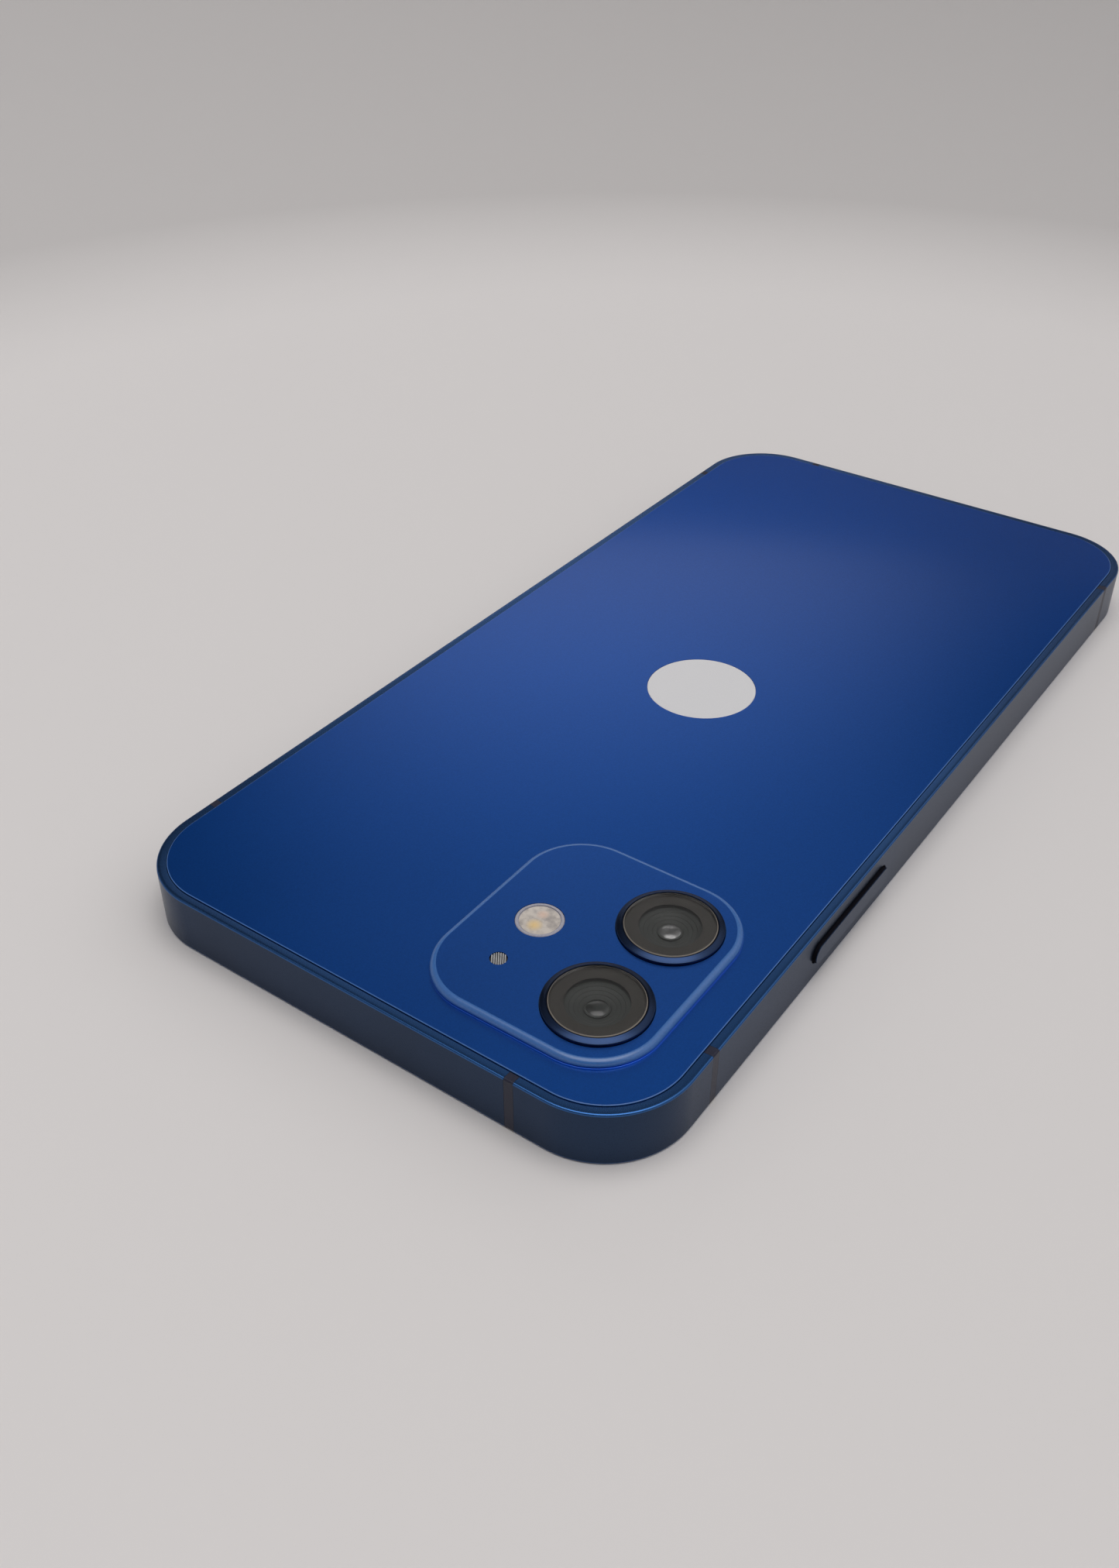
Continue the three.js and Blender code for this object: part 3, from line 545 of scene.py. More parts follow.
def dark_glass(name, colour, roughness=0.06):
    """Glass that is black or nearly so from behind, with faint smears."""
    shader = Shader(name, Coat_Weight=1.0, Coat_Roughness=0.02)
    smear = shader.noise(0.06, 3.0)
    shader.vary(smear, colour, 0.2)
    shader.rough(smear, roughness, roughness + 0.05)
    return shader.material


def lens_glass():
    shader = Shader("lens_glass", Transmission_Weight=1.0, IOR=1.5)
    shader.rough(shader.noise(0.3), 0.0, 0.012)
    return shader.material


def lens_dome(name, colour, ior):
    """A small front element: a dark coated dome with a strong shine."""
    shader = Shader(name, IOR=ior, Coat_Weight=0.5, Coat_Roughness=0.02)
    shader.vary(shader.noise(0.8), colour, 0.15)
    shader.rough(shader.noise(2.0), 0.05, 0.09)
    return shader.material


def flash_dish():
    """A faceted cream lens with a warm and a pale emitter glowing through it."""
    shader = Shader("flash_dish", Coat_Weight=0.8, Coat_Roughness=0.08)
    mottle = shader.noise(0.9, 3.0)
    base = shader.ramp(mottle, (0.32, (0.40, 0.37, 0.35)), (0.62, (0.66, 0.61, 0.55)))
    yellow = shader.near((FLASH.x, FLASH.y + 1.0, FLASH.z), 0.3, 1.1)
    peach = shader.near((FLASH.x + 0.2, FLASH.y - 0.9, FLASH.z), 0.2, 0.9)
    warm = shader.mix(yellow, base, (0.85, 0.62, 0.28))
    shader.colour(shader.mix(peach, warm, (0.80, 0.58, 0.46)))
    shader.rough(mottle, 0.2, 0.35)
    shader.bump(shader.cells(0.8), 0.08, 0.35)
    return shader.material


def wound_copper():
    """Flat windings of lacquered wire."""
    shader = Shader("wound_copper", Metallic=1.0, Coat_Weight=0.3)
    turns = shader.waves(0.6, rings=True)
    shader.colour(shader.ramp(turns, (0.1, (0.20, 0.07, 0.03)), (0.5, (0.78, 0.36, 0.20))))
    shader.rough(turns, 0.45, 0.28)
    shader.bump(turns, 0.08, 0.8)
    return shader.material


def circuit_board():
    """Solder resist with tracks showing faintly through it."""
    shader = Shader("circuit_board", Coat_Weight=0.4, Coat_Roughness=0.15)
    tracks = shader.cells(1.1)
    shader.colour(shader.ramp(tracks, (0.35, (0.012, 0.050, 0.036)), (0.5, (0.020, 0.085, 0.055))))
    shader.rough(shader.noise(4.0), 0.35, 0.5)
    shader.bump(tracks, 0.02, 0.6)
    return shader.material


def wrapped_foil():
    """The battery's black wrap, slightly wrinkled."""
    shader = Shader("battery_wrap")
    wrinkle = shader.noise(0.25, 4.0, stretch=(1, 0.3, 1))
    shader.vary(wrinkle, (0.022, 0.022, 0.024), 0.2)
    shader.rough(wrinkle, 0.32, 0.48)
    shader.bump(wrinkle, 0.12, 0.5)
    return shader.material


def woven_mesh():
    """Fine woven wire over a sound opening."""
    shader = Shader("mesh_metal", Metallic=0.9)
    weave = shader.waves(0.14)
    shader.colour(shader.ramp(weave, (0.2, (0.05, 0.05, 0.055)), (0.6, (0.48, 0.49, 0.51))))
    shader.rough(weave, 0.5, 0.35)
    shader.bump(weave, 0.03, 0.8)
    return shader.material


def tent_cloth_painted_shade():
    """White paper on the floor, painted darker grey as the tent's wall rises: painted shade where the rising
    wall gets less light.
    """
    shader = Shader("tent_cloth_painted_shade", Roughness=0.75, Specular_IOR_Level=0.2)
    height = shader.nodes.new("ShaderNodeSeparateXYZ")
    shader.links.new(shader.coordinates, height.inputs["Vector"])
    rise = shader.range(height.outputs["Z"], 0.0, 1.0, 0.2 * MM, 9 * MM)
    # Painted shade: the colour runs from pale to darker grey as the wall rises.
    shader.colour(shader.ramp(rise, (0.0, (0.780, 0.765, 0.760)), (1.0, (0.590, 0.578, 0.574))))
    shader.bump(shader.noise(0.4, 4.0), 0.01, 0.2)
    return shader.material


FRAME_METAL = blue_metal()
# The frame's rounded edges in a lighter, glossier blue: a painted highlight.
EDGE_HIGHLIGHT_METAL = blue_metal("edge_highlight_metal", EDGE_HIGHLIGHT_BLUE, 0.25)
RING_METAL = blue_metal("ring_metal", (0.004, 0.022, 0.075), 0.24)
BREAK_PLASTIC = moulded_plastic("antenna_plastic", (0.016, 0.018, 0.038), 0.42, shine=0.3)
BLACK_PLASTIC = moulded_plastic("black_plastic", (0.012, 0.012, 0.013), 0.45)
# Near-black rubber for the seals; the same material paints the buttons' sides as painted shade in the dark
# gap round each cap.
SEAL_RUBBER_AND_SHADE = moulded_plastic("seal_rubber", (0.004, 0.004, 0.008), 0.8, 9.0, shine=0.1)
BACK_GLASS = blue_glass()
PLATEAU_GLASS = blue_glass("plateau_glass", (0.016, 0.132, 0.580), 0.22)
RIM_GLASS = rim_glass()
STEEL = brushed_metal("steel", (0.55, 0.56, 0.58))
GOLD = brushed_metal("contact_gold", (0.83, 0.61, 0.27), 0.25)
MARK_SILVER = mark_silver()
LENS_COVER = lens_glass()
GROUND_EDGE = moulded_plastic("ground_edge", (0.24, 0.215, 0.185), 0.6, 12.0)
LENS_MASK = moulded_plastic("lens_mask", (0.088, 0.083, 0.074), 0.4, 10.0)
BARREL_BLACK = moulded_plastic("barrel_black", (0.085, 0.096, 0.090), 0.42, 8.0)
DOMES = {
    "wide": lens_dome("wide_dome", (0.22, 0.23, 0.23), 2.6),
    "ultrawide": lens_dome("ultrawide_dome", (0.055, 0.065, 0.062), 1.7),
}
FLASH_RIM = moulded_plastic("flash_rim", (0.40, 0.40, 0.46), 0.2, 6.0)
FLASH_DISH = flash_dish()
BAR_METAL = brushed_metal("bar_metal", (0.62, 0.63, 0.64), 0.4)
DISPLAY_BORDER = dark_glass("display_border", (0.004, 0.004, 0.005))
DISPLAY_SCREEN = dark_glass("display_screen", (0.010, 0.011, 0.014))
DISPLAY_WINDOW = dark_glass("display_window", (0.020, 0.012, 0.030))
NODE_FINISHES = {
    "blue_metal": FRAME_METAL,
    "steel": STEEL,
    "black_plastic": BLACK_PLASTIC,
    "seal_rubber": SEAL_RUBBER_AND_SHADE,
    "mesh_metal": woven_mesh(),
    "inner_aluminium": brushed_metal("inner_aluminium", (0.70, 0.71, 0.72), 0.38),
    "mark_silver": brushed_metal("shield_foil", (0.72, 0.73, 0.75), 0.3),
    "flash_cream": moulded_plastic("emitter_cream", (0.75, 0.66, 0.42), 0.4),
    "card_plastic": moulded_plastic("card_plastic", (0.72, 0.72, 0.70), 0.45, 3.0),
    "tungsten": brushed_metal("tungsten", (0.33, 0.34, 0.36), 0.42),
    "battery_wrap": wrapped_foil(),
    "circuit_board": circuit_board(),
    "copper": wound_copper(),
    "magnet": brushed_metal("magnet", (0.40, 0.40, 0.42), 0.35),
}

# ---- Frame ----

STRAIGHT_X = 2 * (HALF_WIDTH - CORNER_RADIUS)
STRAIGHT_Y = 2 * (HALF_LENGTH - CORNER_RADIUS)
ARC_LENGTH = math.pi / 2 * CORNER_RADIUS
PERIMETER = 2 * (STRAIGHT_X + STRAIGHT_Y) + 4 * ARC_LENGTH

# Cuts through the frame's wall start clear of its inner face; the ways behind the slots end inside it.
INNER_WALL = HALF_WIDTH - WALL_INSET - 0.5
WAY_END = HALF_WIDTH - 0.8

# Where each side of the outline starts, going anticlockwise from the -Y end of the +X side.
VOLUME_SIDE = 0.0
TOP_END = STRAIGHT_Y + ARC_LENGTH
BUTTON_SIDE = TOP_END + STRAIGHT_X + ARC_LENGTH
BOTTOM_END = BUTTON_SIDE + STRAIGHT_Y + ARC_LENGTH
STARTS = (VOLUME_SIDE, TOP_END, BUTTON_SIDE, BOTTOM_END)
SIDES = tuple(zip(STARTS, (STRAIGHT_Y, STRAIGHT_X, STRAIGHT_Y, STRAIGHT_X)))

BREAK_HALF = node_half("antenna_break_top").x
BREAK_GAP = 0.02
END_BREAK_X = -node_middle("antenna_break_top").x
SIDE_BREAK_Y = node_middle("antenna_break_button_side_upper").y


def place_on_outline(s):
    """The point and outward normal at a distance along the outline."""
    s %= PERIMETER
    cx = HALF_WIDTH - CORNER_RADIUS
    cy = HALF_LENGTH - CORNER_RADIUS
    places = (
        ((HALF_WIDTH, -cy), (0, 1), (1, 0), (cx, cy), 0),
        ((cx, HALF_LENGTH), (-1, 0), (0, 1), (-cx, cy), 90),
        ((-HALF_WIDTH, cy), (0, -1), (-1, 0), (-cx, -cy), 180),
        ((-cx, -HALF_LENGTH), (1, 0), (0, -1), (cx, -cy), 270),
    )
    for (start, length), (origin, direction, normal, centre, turn) in zip(SIDES, places):
        along = s - start
        if along <= length:
            return Vector(origin) + Vector(direction) * along, Vector(normal)
        if along < length + ARC_LENGTH:
            angle = math.radians(turn) + (along - length) / CORNER_RADIUS
            outward = Vector((math.cos(angle), math.sin(angle)))
            return Vector(centre) + outward * CORNER_RADIUS, outward
    raise ValueError(s)


def stations(start, end):
    """Distances along the outline between two places: both ends and the corners' steps between them."""
    corners = (
        lap + side + length + ARC_LENGTH * i / ARC_STEPS
        for lap in (0, PERIMETER)
        for side, length in SIDES
        for i in range(ARC_STEPS + 1)
    )
    return [start, *[s for s in corners if start + 0.01 < s < end - 0.01], end]


def frame_section():
    """The frame's cross-section as (inset from the outer wall, height), and how many faces each edge has.

    Both edges are alike: rounded, then flat, then falling a little towards the glass."""
    upper = [(inset, FRAME_HIGH - down) for inset, down in quarter(5, EDGE_ROUND, EDGE_ROUND)]
    upper.append((CROWN_INSET, FRAME_HIGH))
    lower = [(inset, FRAME_LOW + (FRAME_HIGH - z)) for inset, z in reversed(upper)]
    inner = [
        (LIP_INSET, FRAME_HIGH - LIP_DROP),
        (LIP_INSET, LEDGE_HIGH),
        (WALL_INSET, LEDGE_HIGH),
        (WALL_INSET, LEDGE_LOW),
        (LIP_INSET, LEDGE_LOW),
        (LIP_INSET, FRAME_LOW + LIP_DROP),
    ]
    return upper + inner + lower, len(upper)


def frame_piece(node, start, end, material, edge_material):
    """A length of the frame between two places on the outline, with a second material on both rounded edges;
    on the metal pieces that material is a lighter blue, a painted highlight.
    """
    section, edge_count = frame_section()
    lower_end = len(section) - 1
    rings = []
    for s in stations(start, end):
        point, outward = place_on_outline(s)
        rings.append([(*(point - outward * inset), z) for inset, z in section])
    bm = bmesh.new()
    made = loft(bm, rings)
    # Both rounded edges take the second material, which on the metal pieces is a painted highlight.
    for index, face in enumerate(bm.faces):
        place = index % len(section)
        if place < edge_count or lower_end - edge_count <= place < lower_end:
            face.material_index = 1
    close(bm, made)
    return to_object(node + "_fine", bm, material, edge_material)


def build_frame():
    """The frame's six metal pieces with the antenna breaks between them, in order round the outline."""
    volume, top, button, bottom = (start + length / 2 for start, length in SIDES)
    break_places = {
        "antenna_break_volume_side_lower": volume - SIDE_BREAK_Y,
        "antenna_break_volume_side_upper": volume + SIDE_BREAK_Y,
        "antenna_break_top": top + END_BREAK_X,
        "antenna_break_button_side_upper": button - SIDE_BREAK_Y,
        "antenna_break_button_side_lower": button + SIDE_BREAK_Y,
        "antenna_break_bottom": bottom + END_BREAK_X,
    }
    metal_between = (
        "frame_rail_volume_side",
        "frame_top",
        "frame_corner_camera",
        "frame_rail_button_side",
        "frame_bottom",
        "frame_corner_haptic",
    )
    cuts = {
        "frame_rail_button_side": button_cuts(-1, "side_button"),
        "frame_rail_volume_side": volume_side_cuts(),
        "frame_bottom": bottom_cuts(),
    }
    starts = list(break_places.values())
    ends = [*starts[1:], starts[0] + PERIMETER]
    for node, start, end in zip(metal_between, starts, ends):
        # Each metal piece's rounded edges are painted a lighter blue, as a painted highlight.
        piece = frame_piece(node, start + BREAK_HALF, end - BREAK_HALF, FRAME_METAL, EDGE_HIGHLIGHT_METAL)
        if node in cuts:
            carve(piece, cuts[node])
        stand_for(piece, node)
    for node, middle in break_places.items():
        half = BREAK_HALF - BREAK_GAP
        piece = frame_piece(node, middle - half, middle + half, BREAK_PLASTIC, BREAK_PLASTIC)
        stand_for(piece, node)


def flared(side, deep, half_length, half_height):
    """A pill-shaped cut into a side wall, with a fine chamfer at its mouth."""
    beyond = 1.0
    wide = beyond + HOLE_CHAMFER
    return [
        (side * (HALF_WIDTH - deep), pill(half_length, half_height)),
        (side * (HALF_WIDTH - HOLE_CHAMFER), pill(half_length, half_height)),
        (side * (HALF_WIDTH + beyond), pill(half_length + wide, half_height + wide)),
    ]


def stem_places(node):
    """Where a push button's two stems lie along the phone."""
    middle = node_middle(node).y
    reach = 2 * node_half(node).y * STEM_SPREAD
    return [middle - reach, middle + reach]


def button_cuts(side, node):
    """The pocket and the two stem holes that a push button stands in."""
    middle = node_middle(node)
    half = node_half(node)
    pocket = flared(side, POCKET_DEPTH, half.y + BUTTON_GAP, half.z + BUTTON_GAP)
    cuts = [side_shell(middle.y, middle.z, pocket)]
    hole = disc(STEM_RADIUS + 0.1)
    stem_rows = [(side * INNER_WALL, hole), (side * (HALF_WIDTH - STEM_HOLE_START), hole)]
    cuts += [side_shell(y, middle.z, stem_rows) for y in stem_places(node)]
    return cuts


def volume_side_cuts():
    """The tray's slot and ways, the ring switch's slot, and the volume buttons' pockets."""
    half = node_half("sim_tray")
    face = pill(half.y + 0.06, half.z + 0.06)
    slot_rows = [(HALF_WIDTH - TRAY_FACE_DEPTH - 0.1, face), (HALF_WIDTH + 1, face)]
    slot = side_shell(node_middle("sim_tray").y, MID_Z, slot_rows)
    way = block(
        (INNER_WALL, TRAY_ARM_LOW[1] - 0.15, TRAY_ARM_LOW[2] - 0.1),
        (WAY_END, TRAY_ARM_HIGH[1] + 0.15, TRAY_ARM_HIGH[2] + 0.1),
    )
    pin_hole = disc(0.7)
    pin_way = side_shell(PIN_Y, MID_Z, [(INNER_WALL, pin_hole), (WAY_END, pin_hole)])
    switch_y = node_middle("ring_switch").y
    switch = side_shell(switch_y, MID_Z, flared(1, SWITCH_SLOT_DEPTH, *SWITCH_SLOT))
    stem_y = SWITCH_STEM[0] + 0.1
    stem_z = SWITCH_STEM[1] + SWITCH_TRAVEL / 2 + 0.1
    stem_low = (INNER_WALL, switch_y - stem_y, MID_Z - stem_z)
    stem_way = block(stem_low, (WAY_END, switch_y + stem_y, MID_Z + stem_z))
    buttons = button_cuts(1, "volume_up_button") + button_cuts(1, "volume_down_button")
    return [*buttons, slot, way, pin_way, switch, stem_way]


def bottom_cuts():
    """The port's opening, the screws' seats, and the rows of sound holes."""
    outside = -HALF_LENGTH - 1
    inside = -HALF_LENGTH + WALL_INSET + 0.5
    mouth = -HALF_LENGTH + 0.12
    half_length, half_height = PORT_OPENING
    wide = 1.12
    opening = pill(half_length, half_height)
    port = [(outside, pill(half_length + wide, half_height + wide)), (mouth, opening), (inside, opening)]
    cuts = [end_shell(0, MID_Z, port)]
    for node in ("bottom_screw_left", "bottom_screw_right"):
        head = disc(SCREW_HEAD + 0.1)
        hole = disc(SCREW_RADIUS + 0.08)
        floor = -HALF_LENGTH + SCREW_HEAD_DEPTH + 0.1
        x = node_middle(node).x
        cuts.append(end_shell(x, MID_Z, [(outside, head), (floor, head)]))
        cuts.append(end_shell(x, MID_Z, [(floor - 0.3, hole), (inside, hole)]))
    for x in SPEAKER_HOLES + MICROPHONE_HOLES:
        hole = disc(SOUND_RADIUS)
        mouth_hole = disc(SOUND_RADIUS + 1 + HOLE_CHAMFER)
        rows = [(outside, mouth_hole), (-HALF_LENGTH + HOLE_CHAMFER, hole), (inside, hole)]
        cuts.append(end_shell(x, MID_Z, rows))
    return cuts


# ---- Back glass and mark ----


def well(bm, spot, profile, steps):
    """A round well's wall through (radius, z) points, lowest first."""
    return loft(bm, [at_height(circle(spot.x, spot.y, radius, steps), z) for radius, z in profile])


def plateau_profile():
    """The plateau's side as (inset, height): a hollow fillet at its foot, then its rounded edge."""
    fillet = [
        (-PLATEAU_FOOT + inward, BACK_Z + PLATEAU_FOOT - down)
        for down, inward in reversed(quarter(5, PLATEAU_FOOT, PLATEAU_FOOT))
    ]
    crest = [(inward, PLATEAU_Z - down) for inward, down in quarter(10, *PLATEAU_ROUND)]
    return fillet + crest


def build_back_glass():
    bm = bmesh.new()
    low = GLASS_LOW.z
    top = PLATEAU_Z
    edge = quarter(5, GLASS_ROUND, GLASS_ROUND)
    sides = [at_height(phone_outline(GLASS_INSET), low)]
    sides += [at_height(phone_outline(GLASS_INSET + inward), BACK_Z - down) for inward, down in edge]
    side_rings = loft(bm, sides)
    plateau_rings = loft(bm, [at_height(plateau_outline(inset), z) for inset, z in plateau_profile()])

    ring_hole = RING_RADIUS + 0.05
    flash_hole = FLASH_RADIUS + 0.04
    microphone_hole = MICROPHONE_RADIUS + 0.03
    wells = [
        well(bm, spot, [(ring_hole, low), (ring_hole, top - 0.05), (ring_hole + 0.05, top)], CIRCLE_STEPS)
        for spot in LENSES.values()
    ]
    flash_steps = [(2.0, low), (2.0, FLASH_SEAT_Z), (flash_hole, FLASH_SEAT_Z), (flash_hole, top)]
    wells.append(well(bm, FLASH, flash_steps, SMALL_STEPS))
    seat = MICROPHONE_SEAT_Z
    microphone_steps = [(0.6, low), (0.6, seat), (microphone_hole, seat), (microphone_hole, top)]
    wells.append(well(bm, MICROPHONE, microphone_steps, SMALL_STEPS))
    recess = MARK_RADIUS + 0.03
    mark_rings = well(bm, MARK, [(recess, BACK_Z - MARK_DEPTH), (recess, BACK_Z)], CIRCLE_STEPS)
    bm.faces.new(mark_rings[0])

    plateau_index = 1
    fill(bm, [side_rings[0], *[rings[0] for rings in wells]])
    fill(bm, [side_rings[-1], plateau_rings[0], mark_rings[-1]])
    fill(bm, [plateau_rings[-1], *[rings[-1] for rings in wells]], plateau_index)
    glass = to_object("back_glass_fine", bm, BACK_GLASS, PLATEAU_GLASS)
    paint(glass, RIM_GLASS, on_bare_edge)
    stand_for(glass, "back_glass")


def on_bare_edge(polygon):
    """The glass's rounded outer edge and the plateau's side, but not the hollow at the plateau's foot."""
    height = polygon.center.z / MM
    in_foot = BACK_Z < height < BACK_Z + PLATEAU_FOOT
    return not in_foot and 0.02 < polygon.normal.z < 0.999


def build_mark():
    low = BACK_Z - MARK_DEPTH
    top = BACK_Z - 0.01
    bevel = 0.05
    mark = lathe("rear_mark_fine", MARK, bevelled(MARK_RADIUS, low, top, bevel), MARK_SILVER)
    stand_for(mark, "rear_mark")


# ---- Cameras, flash and rear microphone ----


def build_lens_ring(name):
    """The ring round a lens: an upright wall, a fine rounded shoulder, and a top that slopes up inwards."""
    spot = LENSES[name]
    node = "lens_ring_" + name
    low, high = node_box(node)
    cover_low, _ = node_box("lens_cover_" + name)
    bore = 4.6
    seat = COVER_RADIUS + 0.07
    edge = 0.1
    crest = high.z
    shoulder = crest - 0.22
    profile = [
        (bore, low.z),
        (RING_RADIUS - edge, low.z),
        (RING_RADIUS, low.z + edge),
        (RING_RADIUS, shoulder - edge),
        *[(RING_RADIUS - inward, shoulder - down) for inward, down in quarter(5, edge, edge)],
        (seat + 0.2, crest - 0.05),
        (seat + 0.12, crest),
        (seat + 0.05, crest),
        (seat, crest - 0.06),
        (seat, cover_low.z),
        (bore, cover_low.z),
    ]
    ring = lathe(node + "_fine", spot, profile, RING_METAL, steps=FINE_STEPS, angle=50)
    stand_for(ring, node)


def build_lens_cover(name):
    """The cover glass with its ground edge, over a printed mask."""
    spot = LENSES[name]
    node = "lens_cover_" + name
    low, high = node_box(node)
    mask_top = low.z + 0.04
    glass_low = mask_top + 0.02
    top = high.z
    bevel = 0.10
    glass = bevelled(COVER_RADIUS, glass_low, top, bevel)
    cover = lathe(node + "_fine", spot, glass, LENS_COVER, steps=FINE_STEPS, angle=20)
    paint(cover, GROUND_EDGE, lambda polygon: 0.3 < polygon.normal.z < 0.9)
    stand_for(cover, node)

    annulus = [(MASK_INNER, low.z), (COVER_RADIUS, low.z), (COVER_RADIUS, mask_top), (MASK_INNER, mask_top)]
    mask = lathe("lens_mask_" + name, spot, annulus, LENS_MASK, steps=FINE_STEPS)
    go_with(mask, node)


def build_lens_barrel(name):
    """The barrel's stepped cone, with the domed front element at its foot."""
    node = "lens_barrel_" + name
    spot = LENSES[name]
    low, high = node_box(node)
    body, nose, shoulder = 4.2, 3.9, 6.4
    cone_top, cone_foot = (3.5, high.z), (1.5, high.z - 0.5)
    steps = 4
    profile = [(0, low.z), (body, low.z), (body, shoulder - 0.2), (nose, shoulder), (nose, high.z)]
    for i in range(steps + 1):
        radius = cone_top[0] + (cone_foot[0] - cone_top[0]) * i / steps
        z = cone_top[1] + (cone_foot[1] - cone_top[1]) * i / steps
        profile.append((radius, z))
        profile.append((radius - 0.06, z - 0.05))
    profile.append((0, profile[-1][1]))
    barrel = lathe(node + "_fine", spot, profile, BARREL_BLACK, steps=FINE_STEPS, angle=20)
    stand_for(barrel, node)

    foot = profile[-1][1] + 0.02
    rim, rise = 1.36, 0.42
    arch = [(rim * math.cos(a), foot + rise * math.sin(a)) for a in (math.pi / 2 * i / 12 for i in range(12))]
    dome = lathe(node + "_dome", spot, [(0, foot), *arch, (0, foot + rise)], DOMES[name])
    go_with(dome, node)
    seat = foot + rise * 0.45
    collar_profile = [(rim - 0.16, foot), (rim + 0.06, foot), (rim + 0.06, seat), (rim - 0.16, seat + 0.03)]
    collar = lathe(node + "_collar", spot, collar_profile, BARREL_BLACK)
    go_with(collar, node)


def build_flash():
    """The flash lens: a polished rim, a groove, and a shallow dish over the emitters."""
    low, high = node_box("flash_lens")
    top = high.z
    rim = FLASH_RADIUS - 0.34
    dish = rim - 0.12
    bulge = [(dish * (1 - i / 6), top - 0.10 + 0.09 * math.sin(math.pi / 2 * i / 6)) for i in range(1, 6)]
    profile = [
        (0, low.z),
        (FLASH_RADIUS, low.z),
        (FLASH_RADIUS, top - 0.08),
        (FLASH_RADIUS - 0.08, top),
        (rim, top),
        (rim - 0.04, top - 0.16),
        (dish + 0.02, top - 0.16),
        (dish, top - 0.10),
        *bulge,
        (0, top - 0.01),
    ]
    lens = lathe("flash_lens_fine", FLASH, profile, FLASH_DISH, steps=2 * SMALL_STEPS, angle=25)
    paint(lens, FLASH_RIM, outside_flash_dish)
    stand_for(lens, "flash_lens")


def outside_flash_dish(polygon):
    away = Vector((polygon.center.x / MM - FLASH.x, polygon.center.y / MM - FLASH.y)).length
    return away > FLASH_RADIUS - 0.42


def bars_in_circle(radius, pitch, thickness, z_low, z_high):
    """Thin parallel bars that fill a circle about the origin, as closed shells."""
    shells = []
    count = int(radius / pitch)
    for i in range(-count, count + 1):
        y = i * pitch
        reach = math.sqrt(radius * radius - y * y) - 0.02
        if reach > pitch / 2:
            shells.append(block((-reach, y - thickness / 2, z_low), (reach, y + thickness / 2, z_high)))
    return shells


def build_microphone():
    """The rear microphone's grille of fine bars over a dark floor."""
    low, high = node_box("rear_microphone_mesh")
    floor_top = high.z - 0.12
    radius = MICROPHONE_RADIUS
    base = [(0, low.z), (radius, low.z), (radius, floor_top), (0, floor_top)]
    floor = lathe("rear_microphone_floor", MICROPHONE, base, BLACK_PLASTIC, steps=SMALL_STEPS)
    stand_for(floor, "rear_microphone_mesh")
    turn = math.radians(-55)
    shells = []
    for rings in bars_in_circle(radius, 0.24, 0.14, floor_top + 0.005, high.z):
        shells.append([[turned(point, turn, MICROPHONE) for point in ring] for ring in rings])
    bars = solid("rear_microphone_bars", shells, BAR_METAL)
    go_with(bars, "rear_microphone_mesh")


def turned(point, angle, centre):
    """A point turned about the upright through the origin, then moved to a centre."""
    x, y, z = point
    across = x * math.cos(angle) - y * math.sin(angle)
    along = x * math.sin(angle) + y * math.cos(angle)
    return (centre.x + across, centre.y + along, z)


# ---- Buttons, ring switch and tray ----


def rounded_cap(side, root, face, half_length, half_height, rounding):
    """A pill-shaped cap that ends in a finely rounded face."""
    rows = [(side * root, pill(half_length, half_height))]
    for inward, down in quarter(5, rounding, rounding):
        rows.append((side * (face - down), pill(half_length - inward, half_height - inward)))
    return rows


def build_button(side, node):
    """A push button: a cap in the wall's pocket, and two stems that go through the wall."""
    low, high = node_box(node)
    middle = node_middle(node)
    half = node_half(node)
    face = max(high.x, -low.x)
    stem_end = min(abs(low.x), abs(high.x))
    cap = rounded_cap(side, BUTTON_ROOT, face, half.y, half.z, 0.1)
    button = solid(node + "_fine", [side_shell(middle.y, middle.z, cap)], FRAME_METAL)
    # The cap's sides are painted near-black: painted shade for the dark gap between the cap and its pocket.
    paint(button, SEAL_RUBBER_AND_SHADE, lambda polygon: abs(polygon.normal.x) < 0.3)
    stand_for(button, node)
    round_stem = disc(STEM_RADIUS)
    rows = [(side * stem_end, round_stem), (side * (BUTTON_ROOT - JOIN_GAP), round_stem)]
    stems = solid(node + "_stems", [side_shell(y, middle.z, rows) for y in stem_places(node)], STEEL)
    go_with(stems, node)


def build_ring_switch():
    """The ring switch's sliding cap and the stem behind it, at its lower stop."""
    low, high = node_box("ring_switch")
    middle = node_middle("ring_switch")
    half = node_half("ring_switch")
    root = HALF_WIDTH - SWITCH_DEPTH
    cap = rounded_cap(1, root, high.x, half.y, half.z, 0.16)
    switch = solid("ring_switch_fine", [side_shell(middle.y, middle.z, cap)], FRAME_METAL)
    stand_for(switch, "ring_switch")
    across, up = SWITCH_STEM
    stem_low = (low.x, middle.y - across, middle.z - up)
    stem = block(stem_low, (root - JOIN_GAP, middle.y + across, middle.z + up))
    go_with(solid("ring_switch_stem", [stem], BLACK_PLASTIC), "ring_switch")


def build_tray():
    """The card tray: its face flush in the wall, its pin hole, and the arm with the card's well."""
    _, high = node_box("sim_tray")
    middle = node_middle("sim_tray")
    half = node_half("sim_tray")
    root = high.x - TRAY_FACE_DEPTH
    rows = rounded_cap(1, root, high.x, half.y, half.z, 0.07)
    face = solid("sim_tray_face", [side_shell(middle.y, middle.z, rows)], FRAME_METAL)
    hole = disc(PIN_RADIUS)
    carve(face, [side_shell(PIN_Y, MID_Z, [(root - 1, hole), (high.x + 1, hole)])])
    stand_for(face, "sim_tray")
    arm_high = (root - JOIN_GAP, TRAY_ARM_HIGH[1], TRAY_ARM_HIGH[2])
    arm = solid("sim_tray_arm", [block(TRAY_ARM_LOW, arm_high, 0.4)], FRAME_METAL)
    carve(arm, [block(CARD_WELL_LOW, CARD_WELL_HIGH, 0.6)])
    go_with(arm, "sim_tray")


# ---- Bottom end ----


